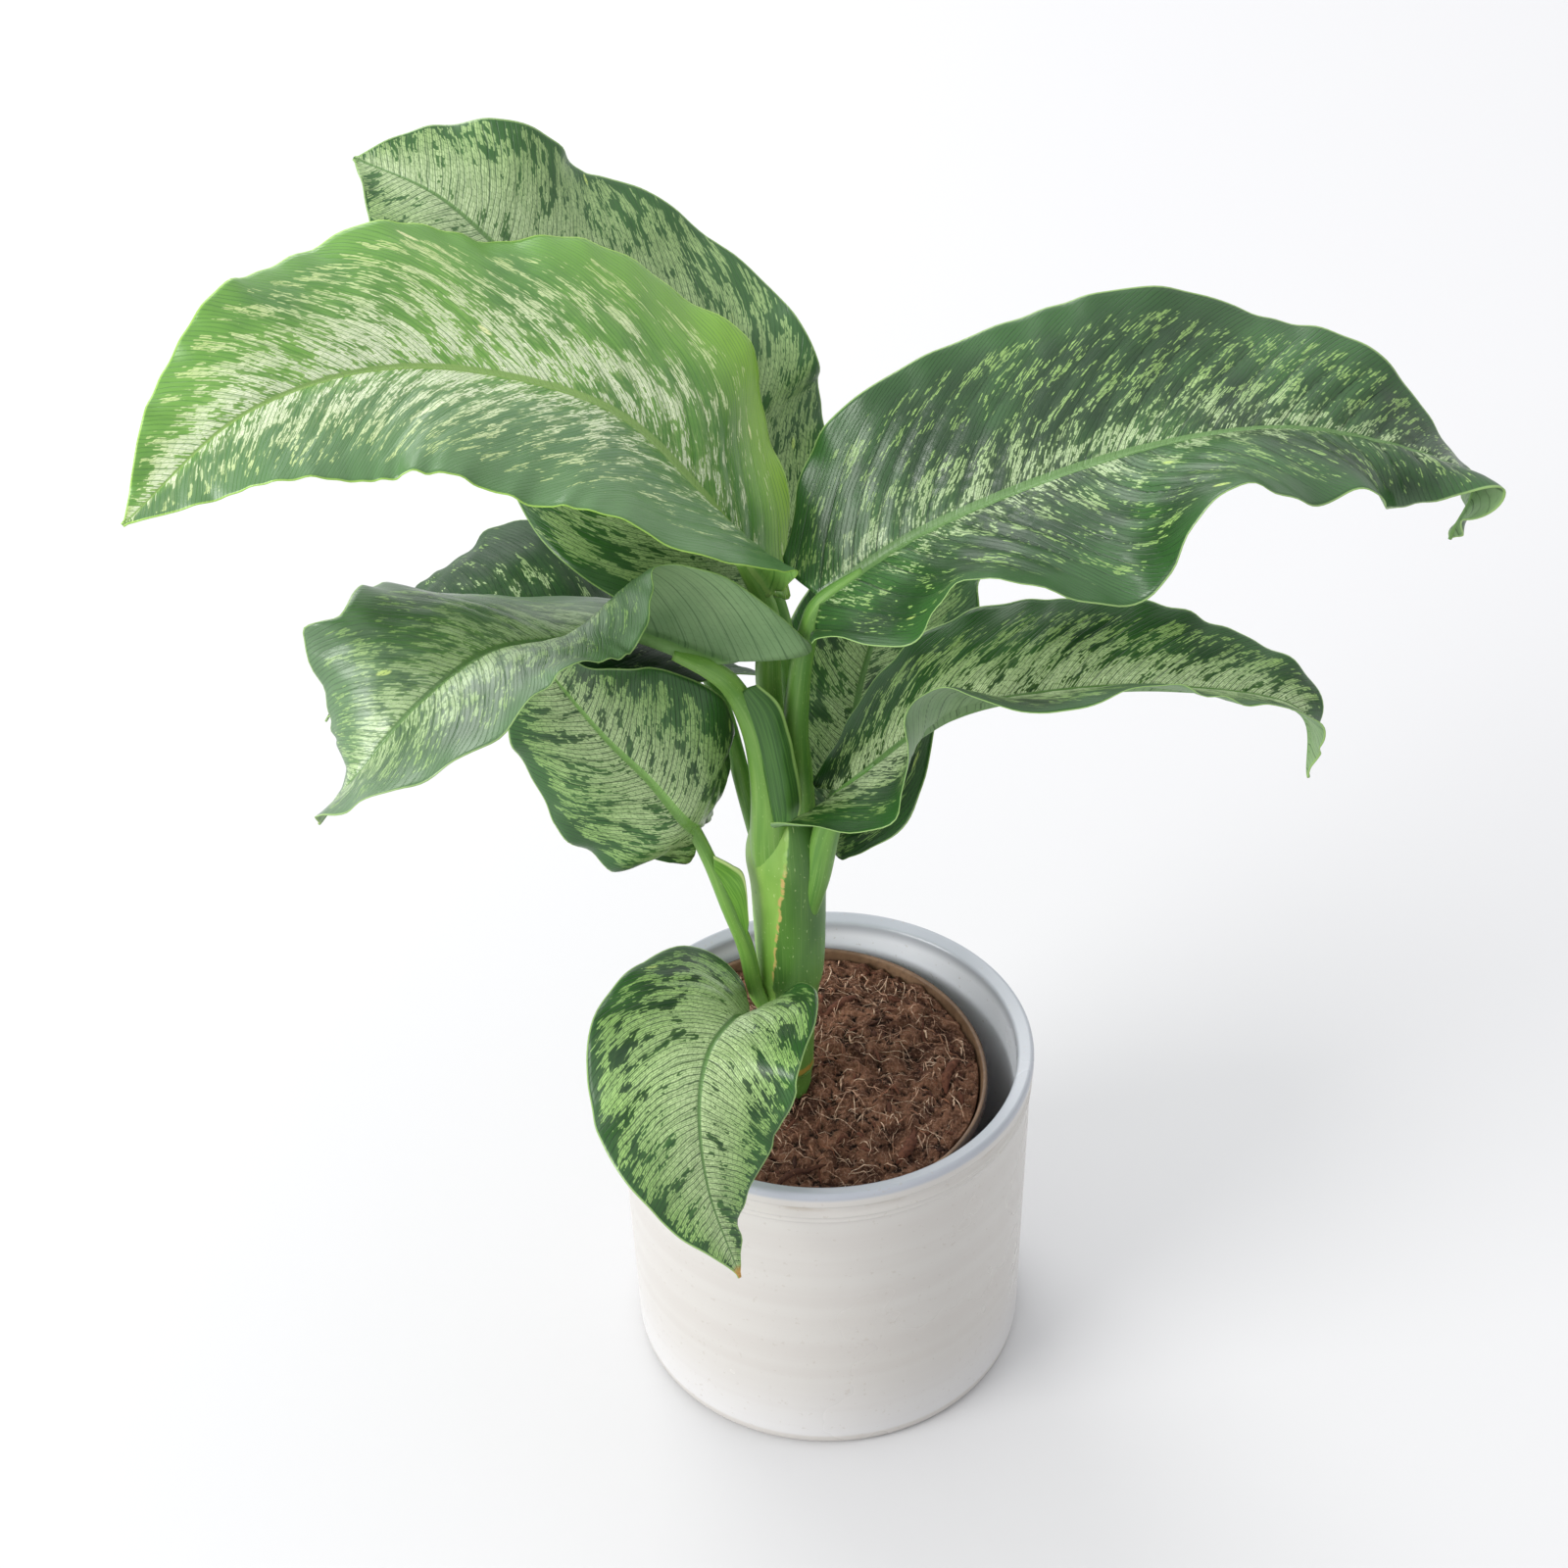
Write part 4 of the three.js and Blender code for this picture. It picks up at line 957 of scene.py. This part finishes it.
def plastic():
    """Brown plastic: dusty inside and dark outside."""
    s = surface("nursery plastic", specular=0.4)
    radius, _, _ = s.mark("turned")
    cloud = s.noise(s.place(), 60.0, 4.0, 0.6)
    dust = s.noise(s.place(), 500.0, 3.0)
    colour = s.patches(cloud, (104, 80, 60), (128, 100, 76))
    colour = s.over(colour, (82, 60, 46), s.rise(dust, 0.5, 0.7), 0.4)
    colour = s.mix(s.rise(radius, 73.4, 74.0), colour, (64, 48, 38))
    return s.done(colour, dust, 0.0002, 0.3, s.swing(cloud, 0.4, 0.6))


BASE = -NURSERY_HEIGHT
NURSERY_PROFILE = [
    [0.5, BASE], [52, BASE], [55, BASE + 0.2], [56, BASE + 1.4],
    [nursery_inside(60) + 1.2, -60], [nursery_inside(6) + 1.2, -6], [nursery_inside(5.2) + 1.3, -5.2],
    [74.1, -5], [74.5, -4.4], [74.5, -2.4], [74.4, -0.8], [73.9, -0.1], [73, 0], [72.4, -0.2], [72.1, -0.9],
    [nursery_inside(6), -6], [nursery_inside(60), -60], [nursery_inside(120), -120],
    [55, BASE + 1.4], [0.5, BASE + 1.2],
]

gather = Gather()
turned(gather, rounded(NURSERY_PROFILE), 160, LEAN)
gather.piece("nursery_pot_plastic", [plastic()], "nursery_pot", "nursery_plastic")

PEAT_EDGE = nursery_inside(9.1) - 0.3


def crumbs(x, y):
    """Rounded crumbs of several sizes with sharp valleys between them."""
    place = join(x, y)
    large = np.abs(swell(place, 15, 11)) + 0.8 * np.abs(swell(place, 8, 12))
    small = 0.55 * np.abs(swell(place, 4.4, 13)) + 0.35 * np.abs(swell(place, 2.6, 14))
    return 1.1 * large + 1.3 * small - 2.2


def peat_height(x, y):
    """Height of the peat below the rim of the nursery pot, with its lumps."""
    share = np.hypot(x, y) / PEAT_EDGE
    broad = np.sin(x * 0.11 + 1.3) * np.cos(y * 0.13 - 0.4)
    lumps = np.sin(x * 0.31 + y * 0.17) * np.sin(y * 0.29 - x * 0.12 + 2)
    return -2.5 - share + 3 * (1 - share**2) + 1.1 * broad + 1.1 * lumps + crumbs(x, y)


def peat_skin():
    """Peat: brown crumbs, with painted shade in the valleys between them."""
    s = surface("peat crumb", roughness=0.95, specular=0.15)
    height, _, _ = s.mark("crumb")
    coarse = s.noise(s.place(), 90.0, 5.0, 0.65)
    fine = s.noise(s.place(), 800.0, 4.0, 0.7)
    colour = s.mix(s.rise(coarse, 0.35, 0.65), (78, 50, 38), (156, 112, 88))
    # Painted shade in the valleys between crumbs
    colour = s.mix(s.rise(height, -0.6, -1.6), colour, (40, 26, 21))
    colour = s.over(colour, (194, 154, 130), s.rise(fine, 0.5, 0.68), 0.65)
    colour = s.over(colour, (44, 29, 23), s.rise(fine, 0.44, 0.32), 0.6)
    return s.done(colour, s.plus(s.times(coarse, 0.6), fine), 0.003, 1.0)


def bark_skin():
    """Bark chips and coir fibres, each with a tone of its own."""
    s = surface("bark and coir", roughness=0.85, specular=0.2)
    tone, kind, _ = s.mark("strand")
    grain = s.noise(s.place(), 600.0, 3.0)
    bark = s.mix(tone, (58, 37, 29), (116, 74, 57))
    coir = s.mix(tone, (150, 98, 72), (236, 206, 178))
    colour = s.mix(s.rise(kind, 0.4, 0.6), bark, coir)
    colour = s.over(colour, (60, 36, 26), s.rise(grain, 0.45, 0.6), 0.5)
    return s.done(colour, grain, 0.001, 0.8)


def add_peat(gather):
    """Body of peat with its crumbly top."""
    rings, segments = 116, 320
    radius = np.linspace(1, 0, rings)[:, None] * PEAT_EDGE
    turn = np.arange(segments) / segments * 2 * np.pi
    x, y = radius * np.cos(turn), radius * np.sin(turn)
    top = join(x, y, peat_height(x, y))
    floor = join(x[0] * 0.76, y[0] * 0.76, 0 * x[0] + BASE + 1.6)
    points = np.vstack([floor[None], top]).reshape(-1, 3)
    start = gather.count
    depth = crumbs(points[:, 0], points[:, 1])
    crumb = join(depth, 0 * depth, 0 * depth)
    gather.add(leaned(points, LEAN), grid_faces(rings + 1, segments, closed=True), 0, crumb=crumb)
    gather.cap(start, segments, 0, flip=True)


def ribbon(gather, path, width, thick, tone, kind):
    """Short strip with four sides that tapers to both ends."""
    path = np.asarray(path)
    count = len(path)
    direction = unit(np.gradient(path, axis=0))
    side = unit(np.cross(direction, np.array([0, 0, 1.0]) + 1e-3))
    up = np.cross(side, direction)
    taper = np.sin(np.linspace(0.12, np.pi - 0.12, count))[:, None] ** 0.6
    corners = [side * width, up * thick, -side * width, -up * thick]
    points = np.stack([path + corner * taper for corner in corners], axis=1)
    marks = np.tile([tone, kind, 0.0], (count * 4, 1))
    start = gather.count
    gather.add(points, grid_faces(count, 4, closed=True), 1, strand=marks)
    gather.cap(start, 4, 1, flip=True)
    gather.cap(start + 4 * (count - 1), 4, 1)


def scatter(gather, count, lengths, widths, thick, lift, bend, kind, seed):
    """Strips strewn over the peat, with their ends in it and their middles lifted."""
    draw = np.random.default_rng(seed)
    for _ in range(count):
        radius = PEAT_EDGE * math.sqrt(draw.uniform(0, 0.94))
        turn = draw.uniform(0, 2 * np.pi)
        start = np.array([radius * math.cos(turn), radius * math.sin(turn)])
        heading = draw.uniform(0, 2 * np.pi)
        length = draw.uniform(*lengths)
        share = np.linspace(0, 1, 7)
        angle = heading + draw.normal() * bend * share + draw.normal() * bend * share**2
        steps = join(np.cos(angle), np.sin(angle)) * length / 6
        flat = start + np.cumsum(steps, axis=0) - steps[0] - steps.sum(axis=0) / 2
        away = np.hypot(flat[:, 0], flat[:, 1])
        if away.max() > PEAT_EDGE - 1:
            continue
        high = draw.uniform(*lift)
        arch = high * np.sin(np.pi * share) + draw.uniform(-0.6, 0.5) + draw.uniform(0, high) * share
        path = np.column_stack([flat, peat_height(flat[:, 0], flat[:, 1]) + arch])
        path = leaned(path, LEAN)
        size = draw.uniform(*widths)
        ribbon(gather, path, size, size * thick, draw.uniform(0, 1), kind)


BARK, COIR = 0.0, 1.0

# Number of strips, their lengths, half widths, thickness as a share of that, lift, bend and kind
LITTER = [
    (110, (3, 8), (0.6, 1.4), 0.6, (0, 0.6), 0.4, BARK),
    (10, (16, 26), (1.6, 3.0), 0.6, (0.2, 1.0), 0.3, BARK),
    (750, (2, 8), (0.1, 0.22), 0.8, (0, 1.4), 0.4, COIR),
    (170, (8, 18), (0.12, 0.26), 0.8, (0.4, 2.6), 0.7, COIR),
    (130, (3, 7), (0.3, 0.5), 0.5, (0.2, 1.4), 0.2, COIR),
]

gather = Gather()
add_peat(gather)
for seed, strips in enumerate(LITTER, start=21):
    scatter(gather, *strips, seed)
gather.piece("peat_with_fibres", [peat_skin(), bark_skin()], "peat", "peat")


# Stage, lights and camera

FLOOR_HALF = 6
FLOOR_HEIGHT = -0.0003


def add_floor():
    """Matt floor with faint clouds, just under the pot."""
    s = surface("floor paint", roughness=0.6, specular=0.2)
    paint = [0.665, 0.662, 0.668, 1]
    cloud = s.noise(s.place(), 1.2, 2.0)
    s.set("Base Color", s.mix(cloud, [c * 0.985 for c in paint], paint))
    mesh = bpy.data.meshes.new("floor")
    signs = [(-1, -1), (1, -1), (1, 1), (-1, 1)]
    mesh.from_pydata([(x * FLOOR_HALF, y * FLOOR_HALF, FLOOR_HEIGHT) for x, y in signs], [], [[0, 1, 2, 3]])
    mesh.materials.append(s.owner)
    piece = linked("floor", mesh)


add_floor()


def area_light(name, place, target, size, power, colour=(1, 1, 1)):
    """Round lamp at a place in metres that faces a target, with its size and watts."""
    data = bpy.data.lights.new(name, "AREA")
    data.shape = "DISK"
    data.size = size
    data.energy = power
    data.color = colour
    light = linked(name, data)
    light.location = place
    light.rotation_euler = (Vector(target) - Vector(place)).to_track_quat("-Z", "Y").to_euler()


area_light("key", (-4.1, -2.3, 2.4), (0, 0, 0.25), 3.2, 205, (1.0, 0.995, 0.98))
area_light("back", (-1.6, 3.1, 2.8), (0, 0, 0.3), 2.9, 62)


def sky():
    """Light from all round, brighter from above and behind the plant than from the floor."""
    s = Nodes(bpy.data.worlds.new("studio"), "Background")
    inputs = {0: s.node("TexCoord", {}).outputs["Generated"], 1: (-0.2, 0.5, 0.84)}
    facing = s.node("VectorMath", inputs, operation="DOT_PRODUCT").outputs["Value"]
    s.set("Color", (0.97, 0.98, 1.0, 1))
    s.set("Strength", s.line(facing, -0.3, 1, 0.66, 1.24))
    return s.owner


scene = bpy.context.scene
scene.world = sky()
scene.view_settings.view_transform = "Standard"

# The photograph's view, worked out from the ellipses of the pot's rim and foot
CAMERA_PLACE = Vector((-0.0132, -0.780, 0.8645))
PITCH = math.radians(36.15)
ROLL = math.radians(-1.77)
LENS = 56.25
SENSOR = 36

camera_data = bpy.data.cameras.new("camera")
camera_data.lens = LENS
camera_data.sensor_width = SENSOR
camera = linked("camera", camera_data)
scene.camera = camera
ahead = Vector((0, math.cos(PITCH), -math.sin(PITCH)))
level_up = Vector((0, math.sin(PITCH), math.cos(PITCH)))
level_right = Vector((1, 0, 0))
right = level_right * math.cos(ROLL) + level_up * math.sin(ROLL)
up = level_up * math.cos(ROLL) - level_right * math.sin(ROLL)
turn = Matrix((right, up, -ahead)).transposed()
camera.matrix_world = Matrix.Translation(CAMERA_PLACE) @ turn.to_4x4()
